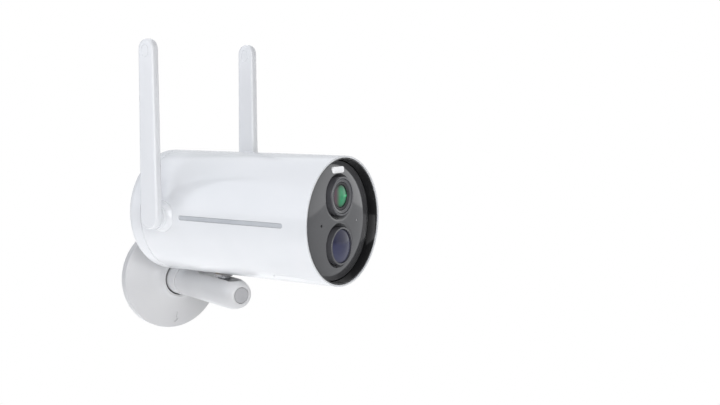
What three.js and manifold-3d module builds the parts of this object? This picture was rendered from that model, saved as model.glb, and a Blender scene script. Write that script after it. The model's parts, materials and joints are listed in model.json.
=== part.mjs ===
// Outdoor battery security camera: a cylindrical head with two fold-down antennas,
// carried by a ball stud in the end of a tubular arm that swivels in a round wall plate.
// Millimetres, +Z up. Origin: centre of the wall plate's back face. The arm points along -Y.
import * as THREE from "three";
import { mergeVertices } from "three/addons/utils/BufferGeometryUtils.js";
import Module from "manifold-3d";

// ---------------------------------------------------------------- clearances
const GAP = 0.3; // between parts that never touch
const RUN = 0.08; // radial running fit of a pivot in its bore
const FIT = 0.25; // line gap between two outer covers

// ---------------------------------------------------------------- head
const HEAD_RADIUS = 33;
const HEAD_LENGTH = 118;
const HEAD_PAN = 20; // degrees the head is turned from the arm's direction
const SHELL_WALL = 2;
const LIP_WALL = 1;
const HOOD_DEPTH = 6.2; // depth of the front seat behind the rim
const REAR_COVER_LENGTH = 10;
const REAR_ROUNDING = 7;
const SPIGOT_LENGTH = 4; // rear cover's spigot inside the shell
const STUD_FROM_REAR = 39;
const STUD_BACK = HEAD_LENGTH - STUD_FROM_REAR; // stud axis behind the front rim

// ---------------------------------------------------------------- front face
const HOOD_WALL = 0.45;
const HOOD_STEP = 1; // the hood stands this far outside the panel's edge
const PANEL_SET_BACK = 2.7;
const PANEL_EDGE_SET_BACK = 5.5;
const PANEL_BACK = 7.5;
const PANEL_EDGE_RADIUS = HEAD_RADIUS - LIP_WALL - FIT - HOOD_WALL - HOOD_STEP;
const DISH_DEPTH = 2;
const LENS_RADIUS = 5.6;
const BARREL_WALL = 1.4;
const SHADE_WIDTH = 1.6;
const BEZEL_WIDTH = 1.3;
const DISH_WIDTH = 2.2; // dished ring round the lens bezel
const DISH_TO_AXIS = 0.5; // the lens dish stays this far above the head axis
const BEZEL_PROUD = 1.9;
const SHADE_DEPTH = 0.9; // shade's inner rim behind the bezel's front
const BARREL_SET_BACK = 1; // barrel's front behind the bezel's front
const LENS_EDGE_SET_BACK = 0.4; // lens rim behind the barrel's front
const BARREL_RADIUS = LENS_RADIUS + BARREL_WALL;
const SHADE_RADIUS = BARREL_RADIUS + SHADE_WIDTH;
const BEZEL_RADIUS = SHADE_RADIUS + BEZEL_WIDTH;
const DISH_RADIUS = BEZEL_RADIUS + DISH_WIDTH;
const LENS_HEIGHT = DISH_RADIUS + DISH_TO_AXIS; // lens axis above the head axis
const PIR_LENS_RADIUS = 8.5;
const PIR_LENS_WALL = 0.8;
const PIR_RING_WIDTH = 1.1;
const PIR_DISH_WIDTH = 2.3;
const PIR_DISH_TO_AXIS = 0.8; // the sensor dish stays this far below the head axis
const PIR_RING_RADIUS = PIR_LENS_RADIUS + PIR_RING_WIDTH;
const PIR_DISH_RADIUS = PIR_RING_RADIUS + PIR_DISH_WIDTH;
const PIR_DROP = PIR_DISH_RADIUS + PIR_DISH_TO_AXIS; // motion sensor axis below the head axis
const WINDOW_WIDTH = 10;
const WINDOW_HEIGHT = 3.3;
const WINDOW_ABOVE_DISH = 1.1; // window's middle above the top of the lens dish
const WINDOW_RISE = LENS_HEIGHT + DISH_RADIUS + WINDOW_ABOVE_DISH;
const SIDE_HOLE_OUT = 15.9; // microphone and light sensor from the centre line
const SIDE_HOLE_DROP = 1;
const MIC_HOLE_RADIUS = 0.75;
const LIGHT_PIPE_RADIUS = 0.5;

// ---------------------------------------------------------------- inside the head
const BULKHEAD_FRONT = 8.9;
const BULKHEAD_THICKNESS = 2.1;
const BOARD_THICKNESS = 1.4;
const HOLDER_SIZE = 22;
const SENSOR_BOARD_SIZE = 24;
const CELL_RADIUS = 9.2;
const CELL_LENGTH = 65;
const CELL_FRONT = 35.5;
const CELL_RISE = 8;
const CRADLE_FLOOR = 1.8; // cradle below the cells
const MAIN_BOARD_WIDTH = 44;
const MAIN_BOARD_DROP = 1.9; // main board below the cradle
const SHIELD_LENGTH = 18;
const SHIELD_WIDTH = 18;
const SHIELD_HEIGHT = 2.4;
const SHIELD_FRONT = 44;
const SPEAKER_RADIUS = 10;
const SPEAKER_THICKNESS = 4.6;
const SPEAKER_HOLE_RADIUS = 0.8;
const SPEAKER_HOLE_CIRCLE = 5;

// ---------------------------------------------------------------- port hatch under the head
const HATCH_FRONT = 8.5;
const HATCH_REAR = 32;
const HATCH_HALF_WIDTH = 19;
const HATCH_FRONT_CORNER = 6;
const HATCH_REAR_CORNER = 3.5;
const HATCH_THICKNESS = 1;
const HATCH_REAR_GAP = 0.35;
const POCKET_FRONT = 16.5;
const POCKET_REAR = 29.5;
const POCKET_HALF_WIDTH = 13;
const POCKET_WALL = 1.5;
const POCKET_DEPTH = 13.5; // pocket's floor above the lowest line of the shell
const POCKET_FLOOR = -HEAD_RADIUS + POCKET_DEPTH;
const HINGE_INSET = 0.4; // hinge axis in front of the hatch recess's rear edge
const HINGE_DEPTH = 0.8; // hinge axis above the lowest line of the shell
const HINGE_RELIEF = 0.3; // the chamfer behind the hinge passes this far in front of the axis
const HINGE_BACK = HATCH_REAR - HINGE_INSET;
const HINGE_HEIGHT = -HEAD_RADIUS + HINGE_DEPTH;
const HINGE_RADIUS = 0.7;
const HINGE_HALF_LENGTH = 3.4;
const USB_WIDTH = 9;
const USB_HEIGHT = 3.2;
const BUTTON_RADIUS = 1.5;
const BUTTON_TRAVEL = 0.5;
const SWITCH_TRAVEL = 2.4;

// ---------------------------------------------------------------- side strips
const STRIP_FRONT = 14.2;
const STRIP_FROM_REAR = 37;
const STRIP_REAR = HEAD_LENGTH - STRIP_FROM_REAR;
const STRIP_WIDTH = 2.4;
const STRIP_DEPTH = 1;

// ---------------------------------------------------------------- antennas
const ANTENNA_FROM_REAR = 24.8;
const ANTENNA_BACK = HEAD_LENGTH - ANTENNA_FROM_REAR; // hinge axis behind the front rim
const ANTENNA_CLEAR = 4.5; // paddle's inner face from the head's side
const ANTENNA_THICKNESS = 5;
const ANTENNA_TOP = 91.7; // top above the hinge axis
const ANTENNA_FOOT_RADIUS = 5.95;
const ANTENNA_TOP_RADIUS = 5.2;
const ANTENNA_EDGE = 1.4;
const PIVOT_RADIUS = 3;
const BASE_NECK_WALL = 3.4;
const BASE_FLARE = 1.4;
const BASE_TO_PADDLE = 0.9;
const INNER_FACE = HEAD_RADIUS + ANTENNA_CLEAR;
const OUTER_FACE = INNER_FACE + ANTENNA_THICKNESS;
const ANTENNA_OUT = (INNER_FACE + OUTER_FACE) / 2; // mid-plane from the centre line
const BASE_NECK_RADIUS = PIVOT_RADIUS + BASE_NECK_WALL;
const BASE_RADIUS = BASE_NECK_RADIUS + BASE_FLARE;
const BASE_OUT = INNER_FACE - BASE_TO_PADDLE; // outer end of the fixed base
const MARK_WIDTH = 4.5;
const MARK_HEIGHT = 6.8;
const MARK_LINE = 0.5;
const MARK_DEPTH = 0.25;

// ---------------------------------------------------------------- arm and stud
const ARM_RADIUS = 8.5;
const ARM_CLEARANCE = 1.5; // between the head and the arm
const ARM_DROP = HEAD_RADIUS + ARM_CLEARANCE + ARM_RADIUS; // arm axis below the head axis
const ARM_FRONT = 18.8; // arm end in front of the ball centre
const ARM_REAR = 41.5; // arm's rear edge behind the ball centre
const ARM_NOSE_LENGTH = 9.9;
const ARM_BORE_RADIUS = 4.4;
const ARM_NOSE_LAND = 0.3; // flat ring round the bore at the nose
const ARM_NOSE_RADIUS = ARM_BORE_RADIUS + ARM_NOSE_LAND;
const ARM_WALL = 2.5;
const ARM_REAR_BORE = ARM_RADIUS - ARM_WALL;
const BALL_RADIUS = 4;
const STUD_NECK_RADIUS = 2.4;
const STUD_RADIUS = 3.1;
const SLOT_HALF_WIDTH = 2.9;
const OPENING_HALF_WIDTH = 3.6;
const OPENING_FRONT = 14.8;
const OPENING_REAR = 1.8;
const RECESS_HALF_WIDTH = 4.2;
const RECESS_FRONT = 15.6;
const RECESS_REAR = 24;
const RECESS_DEPTH = 1.8;
const RECESS_FLOOR = ARM_RADIUS - RECESS_DEPTH;
const PIN_HOLE_BACK = 9; // sight hole behind the ball centre
const PIN_HOLE_SIDE = 1.3;
const PIN_HOLE_RADIUS = 0.6;
const PIN_HOLE_DEPTH = 0.6;
const NUT_RADIUS = 5;
const NUT_THICKNESS = 1.6;
const NUT_TO_HEAD = 0.2;
const NUT_BOTTOM = ARM_DROP - HEAD_RADIUS - NUT_TO_HEAD - NUT_THICKNESS;
const INSERT_RADIUS = 5.2;
const INSERT_LENGTH = 9;
const STUD_TOP = ARM_DROP - HEAD_RADIUS + INSERT_LENGTH;
const INSERT_WALL_BORE = 3.4;

// ---------------------------------------------------------------- wall plate
const COLLAR_FROM_ARM = 8.4; // collar's end behind the arm's rear edge
const COLLAR_STAND = 14.6; // collar's end in front of the wall
const COLLAR_FRONT = ARM_REAR + COLLAR_FROM_ARM;
const WALL_BACK = COLLAR_FRONT + COLLAR_STAND; // wall face behind the ball centre
const PLATE_RADIUS = 30.4;
const PLATE_SKIRT = 4.9;
const PLATE_WALL = 2;
const NECK_STEP = 0.4; // neck stands this far outside the arm
const NECK_RADIUS = ARM_RADIUS + NECK_STEP;
const COLLAR_GROOVE_WIDTH = 0.8;
const COLLAR_GROOVE_DEPTH = 1.3;
const COLLAR_RIM = 1.2;
const COLLAR_GROOVE_RADIUS = NECK_RADIUS + COLLAR_GROOVE_WIDTH;
const COLLAR_RADIUS = COLLAR_GROOVE_RADIUS + COLLAR_RIM;
const NECK_FLANGE_STEP = 3.1;
const NECK_FLANGE_RADIUS = NECK_RADIUS + NECK_FLANGE_STEP;
const NECK_FLANGE_THICKNESS = 2.1;
const NECK_BORE = 4;
const BACK_PLATE_THICKNESS = 2.9;
const SCREW_FROM_EDGE = 9.4; // screw axis inside the plate's edge
const SCREW_CIRCLE = 2 * (PLATE_RADIUS - SCREW_FROM_EDGE);
const SCREW_RADIUS = 2;
const SCREW_HEAD_RADIUS = 3.9;

// ---------------------------------------------------------------- colours
const plastic = (color, roughness) => new THREE.MeshStandardMaterial({ color, roughness, metalness: 0 });
const metal = (color, roughness) => new THREE.MeshStandardMaterial({ color, roughness, metalness: 1 });
const WHITE = plastic(0xf2f4f6, 0.2);
const STRIP_GREY = plastic(0xc4c7ca, 0.4);
const BLACK_GLOSS = plastic(0x141416, 0.12);
const PANEL_GREY = plastic(0x3c3c3e, 0.12);
const DARK_TRIM = plastic(0x4a4a4d, 0.3);
const LENS_GREEN = plastic(0x3fae7c, 0.05);
const PIR_BLUE = plastic(0x3f4160, 0.15);
const DIFFUSER = plastic(0xffffff, 0.4);
const RUBBER_DARK = plastic(0x2a2a2c, 0.8);
const PLUG_GREY = plastic(0x9b9b9b, 0.5);
const BOARD_GREEN = plastic(0x1f5a3a, 0.5);
const CHIP_BLACK = plastic(0x1c1c1e, 0.4);
const CELL_BLUE = plastic(0x2c6fb0, 0.35);
const INNER_PLASTIC = plastic(0x55585c, 0.5);
const STEEL = metal(0xb9bcc0, 0.3);
const BRASS = metal(0xc9a24a, 0.3);
const COPPER = metal(0xb87348, 0.35);

// ---------------------------------------------------------------- shape helpers
const wasm = await Module();
wasm.setup();
const QUARTER = Math.PI / 2;
const FAR = 400; // longer than any part

function solid(geometry) {
  const bare = new THREE.BufferGeometry();
  bare.setAttribute("position", geometry.getAttribute("position").clone());
  if (geometry.index) {
    bare.setIndex(geometry.index.clone());
  }
  const welded = mergeVertices(bare, 1e-4);
  const index = Array.from(welded.index.array);
  const corners = [];
  for (let i = 0; i < index.length; i += 3) {
    const [a, b, c] = index.slice(i, i + 3);
    if (a !== b && b !== c && c !== a) {
      corners.push(a, b, c);
    }
  }
  const build = (triVerts) =>
    new wasm.Manifold(
      new wasm.Mesh({
        numProp: 3,
        vertProperties: new Float32Array(welded.getAttribute("position").array),
        triVerts: new Uint32Array(triVerts),
      }),
    );
  const made = build(corners);
  if (made.volume() > 0) {
    return made;
  }
  const turned = [];
  for (let i = 0; i < corners.length; i += 3) {
    turned.push(corners[i], corners[i + 2], corners[i + 1]);
  }
  return build(turned);
}

function lathe(profile, segments) {
  return new THREE.LatheGeometry(profile.map(([along, radius]) => new THREE.Vector2(radius, along)), segments);
}
const turnedX = (profile, segments = 32) => solid(lathe(profile, segments).rotateZ(-QUARTER));
const turnedY = (profile, segments = 28) => solid(lathe(profile, segments));
const turnedZ = (profile, segments = 28) => solid(lathe(profile, segments).rotateX(QUARTER));
const rodProfile = (low, high, radius) => [[low, 0], [low, radius], [high, radius], [high, 0]];
const tubeProfile = (low, high, inner, outer) => [
  [low, inner],
  [low, outer],
  [high, outer],
  [high, inner],
  [low, inner],
];
const rodX = (low, high, radius, segments) => turnedX(rodProfile(low, high, radius), segments);
const rodY = (low, high, radius, segments) => turnedY(rodProfile(low, high, radius), segments);
const rodZ = (low, high, radius, segments) => turnedZ(rodProfile(low, high, radius), segments);
const tubeX = (low, high, inner, outer, segments) => turnedX(tubeProfile(low, high, inner, outer), segments);

function box(x0, x1, y0, y1, z0, z1) {
  const shape = new THREE.BoxGeometry(x1 - x0, y1 - y0, z1 - z0);
  return solid(shape.translate((x0 + x1) / 2, (y0 + y1) / 2, (z0 + z1) / 2));
}

// Corner points of a quarter ellipse, from angle a to b in quarter turns.
function arc(alongCentre, radiusCentre, alongSize, radiusSize, from, to, steps) {
  return Array.from({ length: steps + 1 }, (_, i) => {
    const angle = (from + ((to - from) * i) / steps) * QUARTER;
    return [alongCentre + alongSize * Math.cos(angle), radiusCentre + radiusSize * Math.sin(angle)];
  });
}

// A rounded slot outline in its own plane, centred on the first axis from a to b.
function slotShape(a, b, halfWidth) {
  const shape = new THREE.Shape();
  shape.moveTo(a + halfWidth, -halfWidth);
  shape.lineTo(b - halfWidth, -halfWidth);
  shape.absarc(b - halfWidth, 0, halfWidth, -QUARTER, QUARTER, false);
  shape.lineTo(a + halfWidth, halfWidth);
  shape.absarc(a + halfWidth, 0, halfWidth, QUARTER, 3 * QUARTER, false);
  return shape;
}

// A rectangle with its own corner radius at each end of the first axis.
function hatchShape(rear, front, halfWidth, rearCorner, frontCorner) {
  const shape = new THREE.Shape();
  shape.moveTo(rear + rearCorner, -halfWidth);
  shape.lineTo(front - frontCorner, -halfWidth);
  shape.absarc(front - frontCorner, -halfWidth + frontCorner, frontCorner, -QUARTER, 0, false);
  shape.lineTo(front, halfWidth - frontCorner);
  shape.absarc(front - frontCorner, halfWidth - frontCorner, frontCorner, 0, QUARTER, false);
  shape.lineTo(rear + rearCorner, halfWidth);
  shape.absarc(rear + rearCorner, halfWidth - rearCorner, rearCorner, QUARTER, 2 * QUARTER, false);
  shape.lineTo(rear, -halfWidth + rearCorner);
  shape.absarc(rear + rearCorner, -halfWidth + rearCorner, rearCorner, 2 * QUARTER, 3 * QUARTER, false);
  return shape;
}

const extruded = (shape, depth, curveSegments) =>
  new THREE.ExtrudeGeometry(shape, { depth, bevelEnabled: false, curveSegments });
// The outline lies in XY and stands from z0 to z1.
const prismZ = (shape, z0, z1, curveSegments = 8) => solid(extruded(shape, z1 - z0, curveSegments).translate(0, 0, z0));
// The outline lies in XZ and stands from y0 to y1.
const prismY = (shape, y0, y1, curveSegments = 8) =>
  solid(extruded(shape, y1 - y0, curveSegments).rotateX(QUARTER).translate(0, y1, 0));
const moved = (body, x, y, z) => body.translate([x, y, z]);
const mirroredY = (body) => body.mirror([0, 1, 0]);

function part(name, body, material) {
  const made = body.getMesh();
  const geometry = new THREE.BufferGeometry();
  geometry.setAttribute("position", new THREE.BufferAttribute(new Float32Array(made.vertProperties), 3));
  geometry.setIndex(new THREE.BufferAttribute(new Uint32Array(made.triVerts), 1));
  geometry.computeVertexNormals();
  const mesh = new THREE.Mesh(geometry, material);
  mesh.name = name;
  return mesh;
}

// ================================================================ head
// Head frame: +X forward with the front rim at x = 0, +Y to the head's left, axis at y = z = 0.
const headParts = [];
const HEAD_SEGMENTS = 48;
const SHELL_BORE = HEAD_RADIUS - SHELL_WALL;
const LIP_BORE = HEAD_RADIUS - LIP_WALL;
const SHELL_REAR = -(HEAD_LENGTH - REAR_COVER_LENGTH);
const HATCH_FLOOR = HEAD_RADIUS - HATCH_THICKNESS - GAP;
const headCylinder = (radius) => rodX(-FAR, FAR, radius, HEAD_SEGMENTS);

// Main housing: tube with a thin front lip, side grooves, hatch recess and a boss for the insert.
const shellTube = turnedX(
  [
    [SHELL_REAR + FIT / 2, SHELL_BORE],
    [SHELL_REAR + FIT / 2, HEAD_RADIUS],
    [-0.35, HEAD_RADIUS],
    [0, HEAD_RADIUS - 0.3],
    [0, LIP_BORE],
    [-HOOD_DEPTH, LIP_BORE],
    [-HOOD_DEPTH, SHELL_BORE],
    [SHELL_REAR + FIT / 2, SHELL_BORE],
  ],
  HEAD_SEGMENTS,
);
const INSERT_TOP = -HEAD_RADIUS + GAP + INSERT_LENGTH;
const insertBoss = moved(
  rodZ(-SHELL_BORE - 0.6, INSERT_TOP + 1.5, INSERT_RADIUS + 3.2, 20),
  -STUD_BACK,
  0,
  0,
);
const insertBore = moved(rodZ(-FAR, INSERT_TOP + GAP, INSERT_RADIUS + GAP, 24), -STUD_BACK, 0, 0);
const grooveOutline = slotShape(-STRIP_REAR, -STRIP_FRONT, STRIP_WIDTH / 2);
const groove = prismY(grooveOutline, HEAD_RADIUS - STRIP_DEPTH, FAR);
const hatchOutline = hatchShape(
  -HATCH_REAR,
  -HATCH_FRONT,
  HATCH_HALF_WIDTH,
  HATCH_REAR_CORNER,
  HATCH_FRONT_CORNER,
);
const hatchRecess = prismZ(hatchOutline, -FAR, 0).subtract(headCylinder(HATCH_FLOOR));
const pocketOpening = box(-POCKET_REAR, -POCKET_FRONT, -POCKET_HALF_WIDTH, POCKET_HALF_WIDTH, -FAR, POCKET_FLOOR);
const hingeChannel = moved(
  rodY(-HINGE_HALF_LENGTH - GAP, HINGE_HALF_LENGTH + GAP, HINGE_RADIUS + RUN, 20),
  -HINGE_BACK,
  0,
  HINGE_HEIGHT,
);
const antennaHole = moved(rodY(0, FAR, PIVOT_RADIUS + RUN + 1.3 + GAP, 24), -ANTENNA_BACK, 0, 0);
const housing = shellTube
  .add(insertBoss)
  .subtract(insertBore)
  .subtract(groove)
  .subtract(mirroredY(groove))
  .subtract(hatchRecess)
  .subtract(pocketOpening)
  .subtract(hingeChannel)
  .subtract(antennaHole)
  .subtract(mirroredY(antennaHole));
headParts.push(part("housing_shell", housing, WHITE));

// Rear cover: rounded cap with a spigot that carries the weather seal.
const SPIGOT_RADIUS = SHELL_BORE - GAP;
const SEAL_GROOVE_DEPTH = 0.8;
const SEAL_WIDTH = 0.8;
const SEAL_FRONT = SHELL_REAR + 2.4;
const rearCoverBody = turnedX(
  [
    [-HEAD_LENGTH, 0],
    [-HEAD_LENGTH, HEAD_RADIUS - REAR_ROUNDING],
    ...arc(-HEAD_LENGTH + REAR_ROUNDING, HEAD_RADIUS - REAR_ROUNDING, REAR_ROUNDING, REAR_ROUNDING, 2, 1, 4).slice(1),
    [SHELL_REAR - FIT / 2, HEAD_RADIUS],
    [SHELL_REAR - FIT / 2, SPIGOT_RADIUS],
    [SEAL_FRONT - SEAL_WIDTH - 0.2, SPIGOT_RADIUS],
    [SEAL_FRONT - SEAL_WIDTH - 0.2, SPIGOT_RADIUS - SEAL_GROOVE_DEPTH],
    [SEAL_FRONT + 0.2, SPIGOT_RADIUS - SEAL_GROOVE_DEPTH],
    [SEAL_FRONT + 0.2, SPIGOT_RADIUS],
    [SHELL_REAR + SPIGOT_LENGTH, SPIGOT_RADIUS],
    [SHELL_REAR + SPIGOT_LENGTH, SPIGOT_RADIUS - 1.8],
    [-HEAD_LENGTH + REAR_ROUNDING, SPIGOT_RADIUS - 1.8],
    [-HEAD_LENGTH + SHELL_WALL, HEAD_RADIUS - REAR_ROUNDING - 2],
    [-HEAD_LENGTH + SHELL_WALL, 0],
  ],
  HEAD_SEGMENTS,
);
const SPEAKER_HOLES = 6;
const speakerHole = rodX(-HEAD_LENGTH - 1, -HEAD_LENGTH + SHELL_WALL + 1, SPEAKER_HOLE_RADIUS, 8);
const speakerHoles = Array.from({ length: SPEAKER_HOLES }, (_, i) => {
  const angle = (i * 4 * QUARTER) / SPEAKER_HOLES;
  return moved(speakerHole, 0, SPEAKER_HOLE_CIRCLE * Math.cos(angle), SPEAKER_HOLE_CIRCLE * Math.sin(angle));
});
const rearCover = speakerHoles.reduce((body, hole) => body.subtract(hole), rearCoverBody.subtract(speakerHole));
headParts.push(part("rear_cover", rearCover, WHITE));
headParts.push(
  part(
    "rear_seal",
    tubeX(SEAL_FRONT - SEAL_WIDTH, SEAL_FRONT, SPIGOT_RADIUS - SEAL_GROOVE_DEPTH + 0.12, SHELL_BORE - 0.15, HEAD_SEGMENTS),
    RUBBER_DARK,
  ),
);
const SPEAKER_REAR = -HEAD_LENGTH + SHELL_WALL + GAP;
headParts.push(
  part("speaker", rodX(SPEAKER_REAR, SPEAKER_REAR + SPEAKER_THICKNESS, SPEAKER_RADIUS, 24), CHIP_BLACK),
);

// Side strips: inlays lying in the grooves on both sides.
const STRIP_GAP = 0.15;
const strip = prismY(
  slotShape(-STRIP_REAR + STRIP_GAP, -STRIP_FRONT - STRIP_GAP, STRIP_WIDTH / 2 - STRIP_GAP),
  HEAD_RADIUS - STRIP_DEPTH + 0.1,
  HEAD_RADIUS - 0.25,
);
headParts.push(part("side_strip_left", strip, STRIP_GREY));
headParts.push(part("side_strip_right", mirroredY(strip), STRIP_GREY));

// Hood liner: glossy black band between the white lip and the front panel.
const HOOD_OUTER = LIP_BORE - FIT;
const HOOD_INNER = HOOD_OUTER - HOOD_WALL;
const HOOD_REAR = -HOOD_DEPTH + GAP;
const hoodLiner = turnedX(
  [
    [HOOD_REAR, PANEL_EDGE_RADIUS + GAP],
    [HOOD_REAR, HOOD_OUTER],
    [-0.4, HOOD_OUTER],
    [-0.4, HOOD_INNER],
    [-4, HOOD_INNER],
    [-5.2, PANEL_EDGE_RADIUS + GAP],
    [HOOD_REAR, PANEL_EDGE_RADIUS + GAP],
  ],
  HEAD_SEGMENTS,
);
headParts.push(part("hood_liner", hoodLiner, BLACK_GLOSS));

// Front panel: gently domed cover with a dished ring round the lens and round the motion sensor.
const LENS_HOLE = BEZEL_RADIUS + GAP;
const PIR_HOLE = PIR_RING_RADIUS + GAP;
const PANEL_FACE = -PANEL_SET_BACK - 0.15; // panel surface near the lens
const WINDOW_FRONT = -PANEL_SET_BACK - 0.65; // just below the panel surface near its top
const panelBlank = turnedX(
  [
    [-PANEL_BACK, 0],
    [-PANEL_BACK, PANEL_EDGE_RADIUS],
    [-PANEL_EDGE_SET_BACK, PANEL_EDGE_RADIUS],
    [-PANEL_EDGE_SET_BACK + 0.7, PANEL_EDGE_RADIUS - 0.5],
    [-PANEL_EDGE_SET_BACK + 1.15, PANEL_EDGE_RADIUS - 1.3],
    [-PANEL_SET_BACK - 1.1, PANEL_EDGE_RADIUS - 3],
    [-PANEL_SET_BACK - 0.45, PANEL_EDGE_RADIUS - 10],
    [-PANEL_SET_BACK - 0.1, PANEL_EDGE_RADIUS - 20],
    [-PANEL_SET_BACK, 0],
  ],
  HEAD_SEGMENTS,
);
const dish = (height, dishRadius, holeRadius) =>
  moved(
    turnedX(
      [
        [-PANEL_BACK - 1, 0],
        [-PANEL_BACK - 1, holeRadius],
        [PANEL_FACE - DISH_DEPTH, holeRadius],
        [PANEL_FACE - DISH_DEPTH * 0.65, holeRadius + (dishRadius - holeRadius) * 0.3],
        [PANEL_FACE, dishRadius],
        [PANEL_FACE + 2, dishRadius + 2],
        [PANEL_FACE + 2, 0],
      ],
      32,
    ),
    0,
    0,
    height,
  );
const roundedBar = (halfWidth, halfHeight, corner) =>
  hatchShape(-halfWidth, halfWidth, halfHeight, corner, corner);
// A bar outline across the head, standing from x0 to x1 at a height.
const barX = (shape, x0, x1, height) =>
  solid(extruded(shape, x1 - x0, 4).rotateX(QUARTER).rotateZ(QUARTER).translate(x0, 0, height));
const WINDOW_CORNER = 1.1;
const windowHole = barX(
  roundedBar(WINDOW_WIDTH / 2 + 0.2, WINDOW_HEIGHT / 2 + 0.2, WINDOW_CORNER),
  -PANEL_BACK - 1,
  0,
  WINDOW_RISE,
);
const micHole = moved(rodX(-PANEL_BACK - 1, 0, MIC_HOLE_RADIUS, 10), 0, -SIDE_HOLE_OUT, -SIDE_HOLE_DROP);
const lightHole = moved(rodX(-PANEL_BACK - 1, 0, LIGHT_PIPE_RADIUS + GAP, 10), 0, SIDE_HOLE_OUT, -SIDE_HOLE_DROP);
const frontPanel = panelBlank
  .subtract(dish(LENS_HEIGHT, DISH_RADIUS, LENS_HOLE))
  .subtract(dish(-PIR_DROP, PIR_DISH_RADIUS, PIR_HOLE))
  .subtract(windowHole)
  .subtract(micHole)
  .subtract(lightHole);
headParts.push(part("front_panel", frontPanel, PANEL_GREY));

const GASKET_FRONT = -PANEL_BACK - GAP;
headParts.push(
  part(
    "front_gasket",
    tubeX(GASKET_FRONT - 0.8, GASKET_FRONT, PANEL_EDGE_RADIUS - 1.4, PANEL_EDGE_RADIUS, HEAD_SEGMENTS),
    RUBBER_DARK,
  ),
);

// Lens stack on the lens axis.
const atLens = (body) => moved(body, 0, 0, LENS_HEIGHT);
const atPir = (body) => moved(body, 0, 0, -PIR_DROP);
const BEZEL_FRONT = -PANEL_SET_BACK + BEZEL_PROUD;
const BEZEL_REAR = -PANEL_BACK + 0.3;
const BEZEL_INNER = SHADE_RADIUS + GAP;
const lensBezel = turnedX(
  [
    [BEZEL_REAR, BEZEL_INNER],
    [BEZEL_REAR, BEZEL_RADIUS],
    [BEZEL_FRONT - 0.5, BEZEL_RADIUS],
    [BEZEL_FRONT, BEZEL_RADIUS - 0.4],
    [BEZEL_FRONT, BEZEL_INNER + 0.2],
    [BEZEL_FRONT - 0.3, BEZEL_INNER],
    [BEZEL_REAR, BEZEL_INNER],
  ],
  32,
);
headParts.push(part("lens_bezel", atLens(lensBezel), DARK_TRIM));
const SHADE_INNER = BARREL_RADIUS + GAP;
const lensShade = turnedX(
  [
    [BEZEL_REAR, SHADE_INNER],
    [BEZEL_REAR, SHADE_RADIUS],
    [BEZEL_FRONT - 0.3, SHADE_RADIUS],
    [BEZEL_FRONT - SHADE_DEPTH, SHADE_INNER],
    [BEZEL_REAR, SHADE_INNER],
  ],
  32,
);
headParts.push(part("lens_shade", atLens(lensShade), DARK_TRIM));
const BARREL_FRONT = BEZEL_FRONT - BARREL_SET_BACK;
const BARREL_REAR = -16.8;
const LENS_SEAT = LENS_RADIUS + FIT;
const LENS_BACK = BARREL_FRONT - 3;
const BARREL_BORE = 4.5;
const lensBarrel = turnedX(
  [
    [BARREL_REAR, BARREL_BORE],
    [BARREL_REAR, BARREL_RADIUS],
    [BARREL_FRONT, BARREL_RADIUS],
    [BARREL_FRONT, LENS_SEAT + 0.5],
    [BARREL_FRONT - 0.3, LENS_SEAT],
    [LENS_BACK, LENS_SEAT],
    [LENS_BACK, BARREL_BORE],
    [BARREL_REAR, BARREL_BORE],
  ],
  32,
);
headParts.push(part("lens_barrel", atLens(lensBarrel), CHIP_BLACK));
const LENS_FACE = BARREL_FRONT - LENS_EDGE_SET_BACK;
const LENS_SAG = 1;
const lensCap = (edge, apex, radius, steps) =>
  Array.from({ length: steps + 1 }, (_, i) => {
    const r = radius * (1 - i / steps);
    return [edge + (apex - edge) * (1 - (r / radius) ** 2), r];
  });
const frontLens = turnedX(
  [
    [LENS_BACK + GAP, 0],
    [LENS_BACK + GAP, LENS_RADIUS],
    ...lensCap(LENS_FACE, LENS_FACE + LENS_SAG, LENS_RADIUS, 4),
  ],
  32,
);
headParts.push(part("front_lens", atLens(frontLens), LENS_GREEN));

// Holder, image sensor and sensor board behind the bulkhead.
const HOLDER_FRONT = -BULKHEAD_FRONT - BULKHEAD_THICKNESS - GAP;
const HOLDER_REAR = -19;
const half = (size) => size / 2;
const lensHolder = atLens(
  box(HOLDER_REAR, HOLDER_FRONT, -half(HOLDER_SIZE), half(HOLDER_SIZE), -half(HOLDER_SIZE), half(HOLDER_SIZE))
    .subtract(rodX(-FAR, FAR, BARREL_RADIUS + GAP, 28))
    .subtract(box(HOLDER_REAR - 1, BARREL_REAR + GAP, -8, 8, -8, 8)),
);
headParts.push(part("lens_holder", lensHolder, CHIP_BLACK));
const SENSOR_BOARD_FRONT = HOLDER_REAR - GAP;
headParts.push(
  part("image_sensor", atLens(box(SENSOR_BOARD_FRONT + 0.1, SENSOR_BOARD_FRONT + 1, -4, 4, -3.5, 3.5)), CHIP_BLACK),
);
const sensorHalf = half(SENSOR_BOARD_SIZE);
headParts.push(
  part(
    "sensor_board",
    atLens(
      box(SENSOR_BOARD_FRONT - 1.2, SENSOR_BOARD_FRONT, -sensorHalf, sensorHalf, -sensorHalf, sensorHalf - 1),
    ),
    BOARD_GREEN,
  ),
);

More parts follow.
